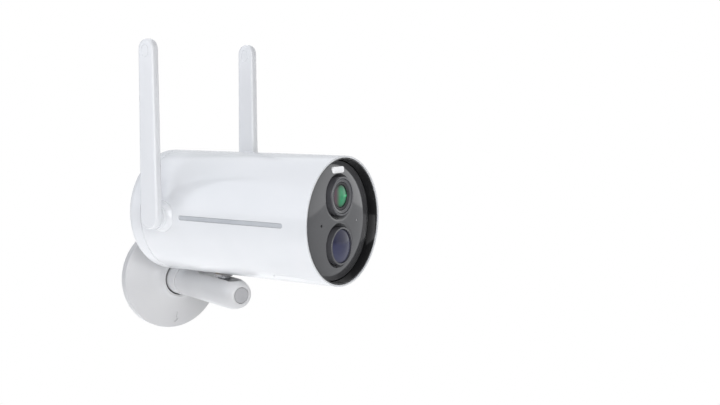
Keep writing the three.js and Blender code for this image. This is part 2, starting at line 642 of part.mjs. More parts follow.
// Motion sensor: ring, domed lens and the can behind it.
const PIR_LENS_SKIRT = PIR_LENS_RADIUS;
const pirRing = turnedX(
  [
    [BEZEL_REAR, PIR_LENS_SKIRT + FIT],
    [BEZEL_REAR, PIR_RING_RADIUS],
    [BEZEL_FRONT - 0.9, PIR_RING_RADIUS],
    [BEZEL_FRONT - 0.4, PIR_RING_RADIUS - 0.4],
    [BEZEL_FRONT - 0.4, PIR_LENS_SKIRT + FIT],
    [BEZEL_REAR, PIR_LENS_SKIRT + FIT],
  ],
  32,
);
headParts.push(part("pir_ring", atPir(pirRing), DARK_TRIM));
const PIR_EDGE = BEZEL_FRONT - 1.1;
const PIR_SAG = 1.6;
const pirLens = turnedX(
  [
    ...lensCap(PIR_EDGE, PIR_EDGE + PIR_SAG, PIR_LENS_SKIRT, 4).reverse(),
    [BEZEL_REAR, PIR_LENS_SKIRT],
    [BEZEL_REAR, PIR_LENS_SKIRT - PIR_LENS_WALL],
    ...lensCap(
      PIR_EDGE - PIR_LENS_WALL,
      PIR_EDGE + PIR_SAG - PIR_LENS_WALL,
      PIR_LENS_SKIRT - PIR_LENS_WALL,
      2,
    ),
  ],
  32,
);
headParts.push(part("pir_lens", atPir(pirLens), PIR_BLUE));

// Bulkhead and front board, both cut away over the port pocket.
const FRONT_BOARD_FRONT = HOLDER_FRONT - 1.3;
const FRONT_BOARD_REAR = FRONT_BOARD_FRONT - BOARD_THICKNESS;
const PIR_CAN_RADIUS = 4.6;
const PIR_CAN_FRONT = -8;
const LED_DEPTH = 1;
const LED_HALF_WIDTH = 4;
const LED_HALF_HEIGHT = 1.3;
const MIC_RADIUS = 2;
const bulkhead = rodX(-BULKHEAD_FRONT - BULKHEAD_THICKNESS, -BULKHEAD_FRONT, SHELL_BORE - GAP, HEAD_SEGMENTS)
  .subtract(atLens(rodX(-FAR, FAR, BARREL_RADIUS + GAP, 28)))
  .subtract(atPir(rodX(-FAR, FAR, PIR_CAN_RADIUS + GAP, 24)))
  .subtract(barX(roundedBar(5.2, 1.9, 1), -FAR / 2, FAR / 2, WINDOW_RISE))
  .subtract(moved(rodX(-FAR, FAR, MIC_RADIUS + GAP, 16), 0, -SIDE_HOLE_OUT, -SIDE_HOLE_DROP))
  .subtract(moved(rodX(-FAR, FAR, LIGHT_PIPE_RADIUS + GAP, 10), 0, SIDE_HOLE_OUT, -SIDE_HOLE_DROP));
headParts.push(part("front_bulkhead", bulkhead, INNER_PLASTIC));
const boardCut = HOLDER_SIZE / 2 + 0.6;
const frontBoard = rodX(FRONT_BOARD_REAR, FRONT_BOARD_FRONT, SHELL_BORE - 2, 40).subtract(
  atLens(box(-FAR, FAR, -boardCut, boardCut, -boardCut, boardCut)),
);
headParts.push(part("front_board", frontBoard, BOARD_GREEN));
headParts.push(
  part("pir_sensor", atPir(rodX(FRONT_BOARD_FRONT + 0.1, PIR_CAN_FRONT, PIR_CAN_RADIUS, 24)), STEEL),
);
const ledRise = WINDOW_RISE + 0.3;
headParts.push(
  part(
    "spotlight_led",
    box(
      FRONT_BOARD_FRONT + 0.1,
      FRONT_BOARD_FRONT + 0.1 + LED_DEPTH,
      -LED_HALF_WIDTH,
      LED_HALF_WIDTH,
      ledRise - LED_HALF_HEIGHT,
      ledRise + LED_HALF_HEIGHT,
    ),
    DIFFUSER,
  ),
);
headParts.push(
  part(
    "spotlight_window",
    barX(roundedBar(WINDOW_WIDTH / 2, WINDOW_HEIGHT / 2, WINDOW_CORNER - 0.2), -PANEL_BACK - 0.9, WINDOW_FRONT, WINDOW_RISE),
    DIFFUSER,
  ),
);
headParts.push(
  part(
    "microphone",
    moved(rodX(FRONT_BOARD_FRONT + 0.1, GASKET_FRONT - 0.5, MIC_RADIUS, 16), 0, -SIDE_HOLE_OUT, -SIDE_HOLE_DROP),
    STEEL,
  ),
);
headParts.push(
  part(
    "light_pipe",
    moved(rodX(FRONT_BOARD_FRONT + 0.3, PANEL_FACE - 0.35, LIGHT_PIPE_RADIUS, 10), 0, SIDE_HOLE_OUT, -SIDE_HOLE_DROP),
    DIFFUSER,
  ),
);

// Power and main board.
const CELL_PITCH = CELL_RADIUS + GAP;
const cell = moved(rodX(-CELL_FRONT - CELL_LENGTH, -CELL_FRONT, CELL_RADIUS, 24), 0, CELL_PITCH, CELL_RISE);
headParts.push(part("battery_cell_left", cell, CELL_BLUE));
headParts.push(part("battery_cell_right", mirroredY(cell), CELL_BLUE));
const cellClear = moved(rodX(-FAR, FAR, CELL_RADIUS + GAP, 24), 0, CELL_PITCH, CELL_RISE);
const CRADLE_HALF_WIDTH = 2 * CELL_RADIUS + 2;
const CRADLE_BOTTOM = CELL_RISE - CELL_RADIUS - GAP - CRADLE_FLOOR;
const CRADLE_TOP = CELL_RISE - 3;
const MAIN_BOARD_TOP = CRADLE_BOTTOM - MAIN_BOARD_DROP;
const RIB = 3;
const cradleRib = (x) => box(x - RIB, x, -CRADLE_HALF_WIDTH, CRADLE_HALF_WIDTH, CRADLE_BOTTOM, CRADLE_TOP);
const cradle = box(
  -CELL_FRONT - CELL_LENGTH,
  -CELL_FRONT,
  -CRADLE_HALF_WIDTH,
  CRADLE_HALF_WIDTH,
  CRADLE_BOTTOM,
  CRADLE_BOTTOM + 1.4,
)
  .add(cradleRib(-CELL_FRONT - 4))
  .add(cradleRib(-CELL_FRONT - half(CELL_LENGTH)))
  .add(cradleRib(-CELL_FRONT - CELL_LENGTH + 4 + RIB))
  .subtract(cellClear)
  .subtract(mirroredY(cellClear));
headParts.push(part("battery_cradle", cradle, INNER_PLASTIC));
headParts.push(
  part(
    "main_board",
    box(
      -CELL_FRONT - CELL_LENGTH,
      -CELL_FRONT,
      -half(MAIN_BOARD_WIDTH),
      half(MAIN_BOARD_WIDTH),
      MAIN_BOARD_TOP - BOARD_THICKNESS,
      MAIN_BOARD_TOP,
    ),
    BOARD_GREEN,
  ),
);
const SHIELD_TOP = MAIN_BOARD_TOP - BOARD_THICKNESS - 0.1;
headParts.push(
  part(
    "processor_shield",
    box(
      -SHIELD_FRONT - SHIELD_LENGTH,
      -SHIELD_FRONT,
      -half(SHIELD_WIDTH),
      half(SHIELD_WIDTH),
      SHIELD_TOP - SHIELD_HEIGHT,
      SHIELD_TOP,
    ),
    STEEL,
  ),
);

// Port pocket under the head, with the connector, card slot, reset button and power switch.
const POCKET_TOP = POCKET_FLOOR + POCKET_WALL;
const CUP_HALF_WIDTH = POCKET_HALF_WIDTH + POCKET_WALL;
const portCupBlank = box(
  -POCKET_REAR - POCKET_WALL,
  -POCKET_FRONT + POCKET_WALL,
  -CUP_HALF_WIDTH,
  CUP_HALF_WIDTH,
  -FAR,
  POCKET_TOP,
).intersect(headCylinder(SHELL_BORE - GAP));
const PORT_ROW_X = -POCKET_REAR + 3.5; // charging port and card slot
const USB_X = PORT_ROW_X;
const USB_Y = -6.5;
const CARD_X = PORT_ROW_X;
const CARD_Y = 5.5;
const CARD_HALF_WIDTH = 6.3;
const CARD_HALF_THICKNESS = 0.9;
const CONTROL_X = -POCKET_FRONT - 3.8; // reset button and power switch
const BUTTON_Y = -6.5;
const SWITCH_Y = 5;
const CONTROL_TIP = POCKET_FLOOR - 1.3;
const PORT_BOARD_BOTTOM = POCKET_TOP + 0.9;
const USB_TIP = POCKET_FLOOR - 5.3;
const CARD_TIP = POCKET_FLOOR - 3.4;
const portCup = portCupBlank
  .subtract(box(-POCKET_REAR, -POCKET_FRONT, -POCKET_HALF_WIDTH, POCKET_HALF_WIDTH, -FAR, POCKET_FLOOR))
  .subtract(
    box(
      USB_X - half(USB_HEIGHT) - GAP,
      USB_X + half(USB_HEIGHT) + GAP,
      USB_Y - half(USB_WIDTH) - GAP,
      USB_Y + half(USB_WIDTH) + GAP,
      -FAR,
      FAR,
    ),
  )
  .subtract(
    box(
      CARD_X - CARD_HALF_THICKNESS - GAP,
      CARD_X + CARD_HALF_THICKNESS + GAP,
      CARD_Y - CARD_HALF_WIDTH - GAP,
      CARD_Y + CARD_HALF_WIDTH + GAP,
      -FAR,
      FAR,
    ),
  )
  .subtract(moved(rodZ(-FAR, FAR, BUTTON_RADIUS + RUN, 24), CONTROL_X, BUTTON_Y, 0))
  .subtract(
    box(CONTROL_X - 1.2 - GAP, CONTROL_X + 1.2 + GAP, SWITCH_Y - 1.5 - GAP, SWITCH_Y + 1.5 + SWITCH_TRAVEL + GAP, -FAR, FAR),
  );
headParts.push(part("port_cup", portCup, INNER_PLASTIC));
const usbBody = box(
  USB_X - half(USB_HEIGHT),
  USB_X + half(USB_HEIGHT),
  USB_Y - half(USB_WIDTH),
  USB_Y + half(USB_WIDTH),
  USB_TIP,
  PORT_BOARD_BOTTOM - 0.1,
)
  .subtract(
    box(
      USB_X - half(USB_HEIGHT) + 0.35,
      USB_X + half(USB_HEIGHT) - 0.35,
      USB_Y - half(USB_WIDTH) + 0.35,
      USB_Y + half(USB_WIDTH) - 0.35,
      USB_TIP - 1,
      USB_TIP + 5.5,
    ),
  )
  .add(box(USB_X - 0.35, USB_X + 0.35, USB_Y - 3.2, USB_Y + 3.2, USB_TIP + 0.9, USB_TIP + 6));
headParts.push(part("usb_connector", usbBody, STEEL));
const cardSlot = box(
  CARD_X - CARD_HALF_THICKNESS,
  CARD_X + CARD_HALF_THICKNESS,
  CARD_Y - CARD_HALF_WIDTH,
  CARD_Y + CARD_HALF_WIDTH,
  CARD_TIP,
  PORT_BOARD_BOTTOM - 0.1,
).subtract(box(CARD_X - 0.5, CARD_X + 0.5, CARD_Y - 5.6, CARD_Y + 5.6, CARD_TIP - 1, CARD_TIP + 3));
headParts.push(part("card_slot", cardSlot, STEEL));
headParts.push(
  part(
    "port_board",
    box(
      -POCKET_REAR - 1,
      -POCKET_FRONT + 1,
      -CUP_HALF_WIDTH + 0.5,
      CUP_HALF_WIDTH - 0.5,
      PORT_BOARD_BOTTOM,
      PORT_BOARD_BOTTOM + 1.2,
    ),
    BOARD_GREEN,
  ),
);
const resetButton = moved(
  rodZ(CONTROL_TIP, PORT_BOARD_BOTTOM - BUTTON_TRAVEL - 0.15, BUTTON_RADIUS, 24),
  CONTROL_X,
  BUTTON_Y,
  0,
);
const powerSwitch = box(
  CONTROL_X - 1.2,
  CONTROL_X + 1.2,
  SWITCH_Y - 1.5,
  SWITCH_Y + 1.5,
  CONTROL_TIP,
  PORT_BOARD_BOTTOM - 0.2,
);

// Hatch: curved flap flush with the shell, hinged on a barrel at its rear edge.
const hatchRim = hatchShape(
  -HATCH_REAR + HATCH_REAR_GAP,
  -HATCH_FRONT - FIT,
  HATCH_HALF_WIDTH - FIT,
  HATCH_REAR_CORNER - FIT,
  HATCH_FRONT_CORNER - FIT,
);
const CHAMFER_BLOCK = 20; // side of the block that cuts the chamfer behind the hinge
const chamferShift = HINGE_RELIEF / 2 - (CHAMFER_BLOCK * Math.SQRT1_2) / 2;
const hatchChamfer = solid(
  new THREE.BoxGeometry(CHAMFER_BLOCK, FAR, CHAMFER_BLOCK)
    .rotateY(-QUARTER / 2)
    .translate(-HINGE_BACK + chamferShift, 0, HINGE_HEIGHT + chamferShift),
);
const hatchBody = prismZ(hatchRim, -FAR, -HATCH_HALF_WIDTH + 4)
  .intersect(headCylinder(HEAD_RADIUS).subtract(headCylinder(HEAD_RADIUS - HATCH_THICKNESS)))
  .subtract(hatchChamfer)
  .add(moved(rodY(-HINGE_HALF_LENGTH, HINGE_HALF_LENGTH, HINGE_RADIUS, 24), -HINGE_BACK, 0, HINGE_HEIGHT));

// Threaded brass insert that the stud screws into.
const mountInsert = moved(
  turnedZ(tubeProfile(-HEAD_RADIUS + GAP, INSERT_TOP, INSERT_WALL_BORE, INSERT_RADIUS), 20),
  -STUD_BACK,
  0,
  0,
);
headParts.push(part("mount_insert", mountInsert, BRASS));

// ================================================================ antennas
// Built for the left side (+Y); the right side is its mirror image.
const SADDLE = headCylinder(HEAD_RADIUS + 0.15);
const antennaBase = moved(
  turnedY(
    [
      [HEAD_RADIUS - 4, PIVOT_RADIUS + RUN],
      [HEAD_RADIUS - 4, BASE_RADIUS + 0.5],
      [HEAD_RADIUS, BASE_RADIUS + 0.5],
      [HEAD_RADIUS + 0.6, BASE_RADIUS],
      [HEAD_RADIUS + 1.6, BASE_NECK_RADIUS + 0.5],
      [HEAD_RADIUS + 2.6, BASE_NECK_RADIUS],
      [BASE_OUT - 0.3, BASE_NECK_RADIUS],
      [BASE_OUT, BASE_NECK_RADIUS - 0.3],
      [BASE_OUT, PIVOT_RADIUS + RUN],
      [HEAD_RADIUS - 4, PIVOT_RADIUS + RUN],
    ],
    24,
  ),
  -ANTENNA_BACK,
  0,
  0,
).subtract(SADDLE);
const baseSpigot = moved(
  turnedY(tubeProfile(HEAD_RADIUS - 4, HEAD_RADIUS + 1, PIVOT_RADIUS + RUN, PIVOT_RADIUS + RUN + 1.3), 24),
  -ANTENNA_BACK,
  0,
  0,
);
const antennaBaseLeft = antennaBase.add(baseSpigot);
headParts.push(part("antenna_base_left", antennaBaseLeft, WHITE));
headParts.push(part("antenna_base_right", mirroredY(antennaBaseLeft), WHITE));

// Paddle outline in the XZ plane: two circles joined by straight sides.
const topCentre = ANTENNA_TOP - ANTENNA_TOP_RADIUS;
const lean = Math.asin((ANTENNA_FOOT_RADIUS - ANTENNA_TOP_RADIUS) / topCentre);
const paddleOutline = (inset) => {
  const shape = new THREE.Shape();
  shape.absarc(0, 0, ANTENNA_FOOT_RADIUS - inset, Math.PI - lean, 2 * Math.PI + lean, false);
  shape.absarc(0, topCentre, ANTENNA_TOP_RADIUS - inset, lean, Math.PI - lean, false);
  shape.closePath();
  return shape;
};
const paddle = solid(
  new THREE.ExtrudeGeometry(paddleOutline(ANTENNA_EDGE), {
    depth: ANTENNA_THICKNESS - 2 * ANTENNA_EDGE,
    bevelEnabled: true,
    bevelThickness: ANTENNA_EDGE,
    bevelSize: ANTENNA_EDGE,
    bevelSegments: 2,
    curveSegments: 8,
  })
    .rotateX(QUARTER)
    .translate(-ANTENNA_BACK, OUTER_FACE - ANTENNA_EDGE, 0),
);
const HALF_GAP = 0.08;
const POCKET_DEEP = 1;
const ELEMENT_HALF_WIDTH = 3;
const pocketLow = ANTENNA_FOOT_RADIUS + 2;
const pocketHigh = topCentre - 9;
const antennaPocket = box(
  -ANTENNA_BACK - ELEMENT_HALF_WIDTH - GAP,
  -ANTENNA_BACK + ELEMENT_HALF_WIDTH + GAP,
  ANTENNA_OUT - POCKET_DEEP,
  ANTENNA_OUT + POCKET_DEEP,
  pocketLow,
  pocketHigh,
);
const markTop = topCentre + 2.4;
const markShape = (grow) =>
  slotShape(markTop - MARK_HEIGHT - grow, markTop + grow, MARK_WIDTH / 2 + grow);
const markRing = (y0, y1) =>
  solid(
    extruded(markShape(0), y1 - y0, 8)
      .rotateZ(QUARTER)
      .rotateX(QUARTER)
      .translate(-ANTENNA_BACK, y1, 0),
  ).subtract(
    solid(
      extruded(markShape(-MARK_LINE), y1 - y0 + 2, 8)
        .rotateZ(QUARTER)
        .rotateX(QUARTER)
        .translate(-ANTENNA_BACK, y1 + 1, 0),
    ),
  );
const outerHalf = paddle
  .subtract(box(-FAR, FAR, -FAR, ANTENNA_OUT + HALF_GAP, -FAR, FAR))
  .subtract(antennaPocket)
  .subtract(markRing(OUTER_FACE - MARK_DEPTH, OUTER_FACE + 1));
const innerHalf = paddle
  .subtract(box(-FAR, FAR, ANTENNA_OUT - HALF_GAP, FAR, -FAR, FAR))
  .subtract(antennaPocket)
  .subtract(markRing(INNER_FACE - 1, INNER_FACE + MARK_DEPTH))
  .add(moved(rodY(BASE_OUT + GAP, INNER_FACE + 1, BASE_NECK_RADIUS - 1, 24), -ANTENNA_BACK, 0, 0))
  .add(moved(rodY(HEAD_RADIUS - 4.5, INNER_FACE + 1, PIVOT_RADIUS, 24), -ANTENNA_BACK, 0, 0));
const element = box(
  -ANTENNA_BACK - ELEMENT_HALF_WIDTH,
  -ANTENNA_BACK + ELEMENT_HALF_WIDTH,
  ANTENNA_OUT - 0.5,
  ANTENNA_OUT + 0.5,
  pocketLow + GAP,
  pocketHigh - GAP,
);
const antennaParts = [
  part("antenna_outer_left", outerHalf, WHITE),
  part("antenna_inner_left", innerHalf, WHITE),
  part("antenna_element_left", element, COPPER),
  part("antenna_outer_right", mirroredY(outerHalf), WHITE),
  part("antenna_inner_right", mirroredY(innerHalf), WHITE),
  part("antenna_element_right", mirroredY(element), COPPER),
];

// ================================================================ arm, stud and wall plate
// Arm frame: +X along the arm towards its nose, +Z up, origin at the centre of the ball.
const armParts = [];
const nose = arc(
  ARM_FRONT - ARM_NOSE_LENGTH,
  ARM_NOSE_RADIUS,
  ARM_NOSE_LENGTH,
  ARM_RADIUS - ARM_NOSE_RADIUS,
  1,
  0,
  6,
);
const armTube = turnedX(
  [
    [-10, 0],
    [-10, ARM_REAR_BORE],
    [-ARM_REAR, ARM_REAR_BORE],
    [-ARM_REAR, ARM_RADIUS - 0.7],
    [-ARM_REAR + 0.7, ARM_RADIUS],
    ...nose,
    [ARM_FRONT, ARM_BORE_RADIUS],
    [0, ARM_BORE_RADIUS],
    ...arc(0, 0, ARM_BORE_RADIUS, ARM_BORE_RADIUS, 1, 2, 3).slice(1, -1),
    [-ARM_BORE_RADIUS, 0],
  ],
  32,
)
  .subtract(prismZ(slotShape(-RECESS_REAR, RECESS_FRONT, RECESS_HALF_WIDTH), RECESS_FLOOR, FAR))
  .subtract(prismZ(slotShape(OPENING_REAR, OPENING_FRONT, OPENING_HALF_WIDTH), 0, FAR))
  .subtract(prismZ(slotShape(-SLOT_HALF_WIDTH - 0.4, OPENING_FRONT - 4, SLOT_HALF_WIDTH), 0, FAR))
  .subtract(moved(rodZ(RECESS_FLOOR - PIN_HOLE_DEPTH, FAR, PIN_HOLE_RADIUS, 12), -PIN_HOLE_BACK, -PIN_HOLE_SIDE, 0));
armParts.push(part("arm_tube", armTube, WHITE));

const SPIGOT_OUTER = ARM_REAR_BORE - GAP;
const NECK_FRONT = -ARM_REAR - GAP;
const GROOVE_FLOOR = -COLLAR_FRONT - COLLAR_GROOVE_DEPTH;
const FLANGE_FRONT = -COLLAR_FRONT - 6.3;
const FLANGE_REAR = FLANGE_FRONT - NECK_FLANGE_THICKNESS;
const armNeck = turnedX(
  [
    [FLANGE_REAR, NECK_BORE],
    [FLANGE_REAR, NECK_FLANGE_RADIUS],
    [FLANGE_FRONT, NECK_FLANGE_RADIUS],
    [FLANGE_FRONT, NECK_RADIUS],
    [NECK_FRONT - 0.5, NECK_RADIUS],
    [NECK_FRONT, NECK_RADIUS - 0.5],
    [NECK_FRONT, SPIGOT_OUTER],
    [NECK_FRONT + 8.5, SPIGOT_OUTER],
    [NECK_FRONT + 8.5, NECK_BORE],
    [FLANGE_REAR, NECK_BORE],
  ],
  36,
);
armParts.push(part("arm_neck", armNeck, WHITE));

const PLUG_RADIUS = ARM_BORE_RADIUS - FIT;
armParts.push(part("arm_end_plug", rodX(ARM_FRONT - 3.6, ARM_FRONT, PLUG_RADIUS, 28), PLUG_GREY));
const SOCKET_HEX = 2.3;
const clampScrew = rodX(7.8, ARM_FRONT - 4.4, PLUG_RADIUS, 20).subtract(
  rodX(ARM_FRONT - 7.6, ARM_FRONT, SOCKET_HEX, 6),
);
armParts.push(part("clamp_screw", clampScrew, STEEL));
const SEAT_RADIUS = BALL_RADIUS + 2 * RUN;
const clampCup = rodX(2, 7.5, PLUG_RADIUS, 20)
  .subtract(solid(new THREE.SphereGeometry(SEAT_RADIUS, 20, 10)))
  .subtract(box(0, 4.2, -SLOT_HALF_WIDTH, SLOT_HALF_WIDTH, 1.5, FAR));
armParts.push(part("clamp_cup", clampCup, CHIP_BLACK));

// Ball stud and lock nut.
const ballJoin = Math.acos(STUD_NECK_RADIUS / BALL_RADIUS) / QUARTER;
const ballStud = turnedZ(
  [
    ...arc(0, 0, BALL_RADIUS, BALL_RADIUS, 2, 1 - ballJoin, 7).map(([a, r]) => [a, Math.max(r, 0)]),
    [RECESS_FLOOR - 0.2, STUD_NECK_RADIUS],
    [RECESS_FLOOR + 0.3, STUD_RADIUS],
    [STUD_TOP - 0.6, STUD_RADIUS],
    [STUD_TOP, STUD_RADIUS - 0.6],
    [STUD_TOP, 0],
  ],
  24,
);
const NOTCHES = 6;
const notch = box(NUT_RADIUS - 0.9, NUT_RADIUS + 1, -0.8, 0.8, -FAR, FAR);
const nutBlank = turnedZ(
  tubeProfile(NUT_BOTTOM, NUT_BOTTOM + NUT_THICKNESS, STUD_RADIUS + RUN, NUT_RADIUS),
  24,
);
const lockNut = Array.from({ length: NOTCHES }, (_, i) => notch.rotate([0, 0, (360 * (i + 0.5)) / NOTCHES])).reduce(
  (body, cut) => body.subtract(cut),
  nutBlank,
);
const studParts = [part("ball_stud", ballStud, STEEL), part("lock_nut", lockNut, PLUG_GREY)];

// Wall plate: domed cover rising to a collar round the neck.
const wallParts = [];
const SKIRT_FRONT = -WALL_BACK + PLATE_SKIRT;
const NECK_HOLE = NECK_RADIUS + RUN;
const FLANGE_CAVITY = NECK_FLANGE_RADIUS + GAP;
const BOSS_REAR = FLANGE_REAR - GAP;
const rise = -COLLAR_FRONT - SKIRT_FRONT; // from the skirt's edge to the collar's end
const span = PLATE_RADIUS - COLLAR_RADIUS;
const facePoint = (outward, upward) => [SKIRT_FRONT + rise * upward, COLLAR_RADIUS + span * outward];
const liningPoint = (outward, upward) => {
  const [along, radius] = facePoint(outward, upward);
  return [along - PLATE_WALL, radius];
};
const wallPlate = turnedX(
  [
    [-WALL_BACK, PLATE_RADIUS - PLATE_WALL],
    [-WALL_BACK, PLATE_RADIUS],
    [SKIRT_FRONT - 0.5, PLATE_RADIUS],
    [SKIRT_FRONT, PLATE_RADIUS - 0.25],
    facePoint(0.94, 0.07),
    facePoint(0.45, 0.42),
    facePoint(0.24, 0.58),
    facePoint(0.09, 0.76),
    [-COLLAR_FRONT - 0.2, COLLAR_RADIUS],
    [-COLLAR_FRONT, COLLAR_RADIUS - 0.2],
    [-COLLAR_FRONT, COLLAR_GROOVE_RADIUS],
    [GROOVE_FLOOR, COLLAR_GROOVE_RADIUS],
    [GROOVE_FLOOR, NECK_HOLE],
    [FLANGE_FRONT + GAP, NECK_HOLE],
    [FLANGE_FRONT + GAP, FLANGE_CAVITY],
    [BOSS_REAR, FLANGE_CAVITY],
    [BOSS_REAR, FLANGE_CAVITY + 1.5],
    liningPoint(0.24, 0.55),
    liningPoint(0.85, 0.12),
    [SKIRT_FRONT - PLATE_WALL + 0.3, PLATE_RADIUS - PLATE_WALL],
    [-WALL_BACK, PLATE_RADIUS - PLATE_WALL],
  ],
  HEAD_SEGMENTS,
);
// Shallow arrow on the lower face showing which way up the plate goes.
const ARROW_LENGTH = 6.2;
const ARROW_FROM_EDGE = 3;
const ARROW_TIP = -PLATE_RADIUS + ARROW_FROM_EDGE;
const ARROW_TOP = ARROW_TIP + ARROW_LENGTH;
const ARROW_DEPTH = 0.3;
const ARROW_HALF_STEM = 0.45;
const ARROW_HALF_HEAD = 2.2;
const arrowShape = new THREE.Shape([
  new THREE.Vector2(-ARROW_HALF_STEM, ARROW_TOP),
  new THREE.Vector2(-ARROW_HALF_STEM, ARROW_TIP + 1.7),
  new THREE.Vector2(-ARROW_HALF_HEAD, ARROW_TIP + ARROW_HALF_HEAD + 0.8),
  new THREE.Vector2(-ARROW_HALF_HEAD, ARROW_TIP + ARROW_HALF_HEAD - 0.3),
  new THREE.Vector2(0, ARROW_TIP),
  new THREE.Vector2(ARROW_HALF_HEAD, ARROW_TIP + ARROW_HALF_HEAD - 0.3),
  new THREE.Vector2(ARROW_HALF_HEAD, ARROW_TIP + ARROW_HALF_HEAD + 0.8),
  new THREE.Vector2(ARROW_HALF_STEM, ARROW_TIP + 1.7),
  new THREE.Vector2(ARROW_HALF_STEM, ARROW_TOP),
]);
const [arrowLow, arrowLowRadius] = facePoint(0.94, 0.07);
const [arrowHigh, arrowHighRadius] = facePoint(0.45, 0.42);
const faceSlope = (arrowHigh - arrowLow) / (arrowLowRadius - arrowHighRadius);
const arrowCut = solid(
  new THREE.ExtrudeGeometry(arrowShape, { depth: 3, bevelEnabled: false })
    .translate(0, arrowLowRadius, -ARROW_DEPTH)
    .rotateX(-Math.atan(faceSlope))
    .translate(0, -arrowLowRadius, 0)
    .rotateX(QUARTER)
    .rotateZ(QUARTER)
    .translate(arrowLow, 0, 0),
);
wallParts.push(part("wall_plate", wallPlate.subtract(arrowCut), WHITE));
wallParts.push(
  part(
    "collar_seal",
    tubeX(GROOVE_FLOOR + 0.1, GROOVE_FLOOR + 0.7, NECK_HOLE + 0.1, COLLAR_GROOVE_RADIUS - 0.15, 36),
    RUBBER_DARK,
  ),
);
const RETAINER_FRONT = BOSS_REAR - GAP;
wallParts.push(
  part("neck_retainer", tubeX(RETAINER_FRONT - 1.6, RETAINER_FRONT, NECK_BORE, FLANGE_CAVITY + 1.4, 32), INNER_PLASTIC),
);

// Back plate on the wall with two countersunk screws.
const BACK_FRONT = -WALL_BACK + BACK_PLATE_THICKNESS;
const COUNTERSINK = SCREW_HEAD_RADIUS - SCREW_RADIUS;
const screwAt = (body, side) => moved(body, 0, (side * SCREW_CIRCLE) / 2, 0);
const countersunk = turnedX(
  [
    [-WALL_BACK - 1, 0],
    [-WALL_BACK - 1, SCREW_RADIUS + GAP],
    [BACK_FRONT - COUNTERSINK, SCREW_RADIUS + GAP],
    [BACK_FRONT + 0.1, SCREW_HEAD_RADIUS + GAP + 0.1],
    [BACK_FRONT + 0.1, 0],
  ],
  20,
);
const backPlate = rodX(-WALL_BACK, BACK_FRONT, PLATE_RADIUS - PLATE_WALL - GAP, 40)
  .subtract(screwAt(countersunk, 1))
  .subtract(screwAt(countersunk, -1));
wallParts.push(part("back_plate", backPlate, INNER_PLASTIC));
const wallScrew = turnedX(
  [
    [-WALL_BACK, 0],
    [-WALL_BACK, SCREW_RADIUS],
    [BACK_FRONT - COUNTERSINK, SCREW_RADIUS],
    [BACK_FRONT - 0.2, SCREW_HEAD_RADIUS - 0.1],
    [BACK_FRONT - 0.2, 0],
  ],
  20,
)
  .subtract(box(BACK_FRONT - 1.2, BACK_FRONT, -2.4, 2.4, -0.45, 0.45))
  .subtract(box(BACK_FRONT - 1.2, BACK_FRONT, -0.45, 0.45, -2.4, 2.4));
wallParts.push(part("wall_screw_left", screwAt(wallScrew, 1), STEEL));
wallParts.push(part("wall_screw_right", screwAt(wallScrew, -1), STEEL));

// ================================================================ assembly
const arm = new THREE.Group();
arm.rotation.z = -QUARTER;
arm.position.set(0, -WALL_BACK, 0);
arm.add(...armParts, ...studParts, ...wallParts);

const head = new THREE.Group();
head.position.set(STUD_BACK, 0, ARM_DROP);
head.add(...headParts, ...antennaParts);
head.add(part("port_cover", hatchBody, WHITE));
head.add(part("reset_button", resetButton, RUBBER_DARK));
head.add(part("power_switch", powerSwitch, CHIP_BLACK));
const headTurn = new THREE.Group();
headTurn.rotation.z = -QUARTER + THREE.MathUtils.degToRad(HEAD_PAN);
headTurn.position.set(0, -WALL_BACK, 0);
headTurn.add(head);

const camera = new THREE.Group();
camera.add(arm, headTurn);
export default camera;
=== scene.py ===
# %% [markdown]
# # Outdoor battery security camera
# A white moulded head with a smoked front cover sits on a ball stud in a short arm, and the arm
# swivels in a domed wall plate. Two flat antennas fold on the sides of the head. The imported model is
# the fixed frame: each piece below is built in millimetres in the frame of the assembly it belongs
# to (head or arm), and then carried to the model's own place in metres.

import json
import math

import bmesh
import bpy
import numpy as np
from mathutils import Matrix, Vector


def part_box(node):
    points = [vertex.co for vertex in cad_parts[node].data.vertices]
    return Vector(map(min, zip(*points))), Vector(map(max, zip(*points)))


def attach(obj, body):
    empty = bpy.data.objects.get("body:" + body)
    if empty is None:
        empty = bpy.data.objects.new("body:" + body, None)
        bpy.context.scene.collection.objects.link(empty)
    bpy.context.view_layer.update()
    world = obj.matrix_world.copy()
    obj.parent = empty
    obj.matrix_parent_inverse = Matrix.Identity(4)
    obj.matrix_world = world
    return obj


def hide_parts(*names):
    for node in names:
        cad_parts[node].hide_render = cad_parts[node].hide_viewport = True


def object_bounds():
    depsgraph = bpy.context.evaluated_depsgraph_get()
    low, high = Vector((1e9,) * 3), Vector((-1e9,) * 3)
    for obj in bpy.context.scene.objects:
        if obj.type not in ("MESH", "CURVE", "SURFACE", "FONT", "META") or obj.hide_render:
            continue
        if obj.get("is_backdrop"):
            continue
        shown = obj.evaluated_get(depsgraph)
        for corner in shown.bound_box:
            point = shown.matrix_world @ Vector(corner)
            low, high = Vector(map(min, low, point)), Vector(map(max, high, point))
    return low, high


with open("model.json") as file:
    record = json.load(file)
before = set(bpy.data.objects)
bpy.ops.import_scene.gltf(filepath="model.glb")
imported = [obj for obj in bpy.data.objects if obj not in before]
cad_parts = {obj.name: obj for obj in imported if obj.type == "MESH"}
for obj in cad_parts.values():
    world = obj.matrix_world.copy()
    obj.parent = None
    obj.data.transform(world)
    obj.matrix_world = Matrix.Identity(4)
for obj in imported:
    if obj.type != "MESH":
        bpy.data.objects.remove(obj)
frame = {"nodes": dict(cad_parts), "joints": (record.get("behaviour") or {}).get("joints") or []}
cad_low, cad_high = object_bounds()
nodes = frame["nodes"]
print("model box", [round(v * 1000, 1) for v in cad_high - cad_low], "mm")

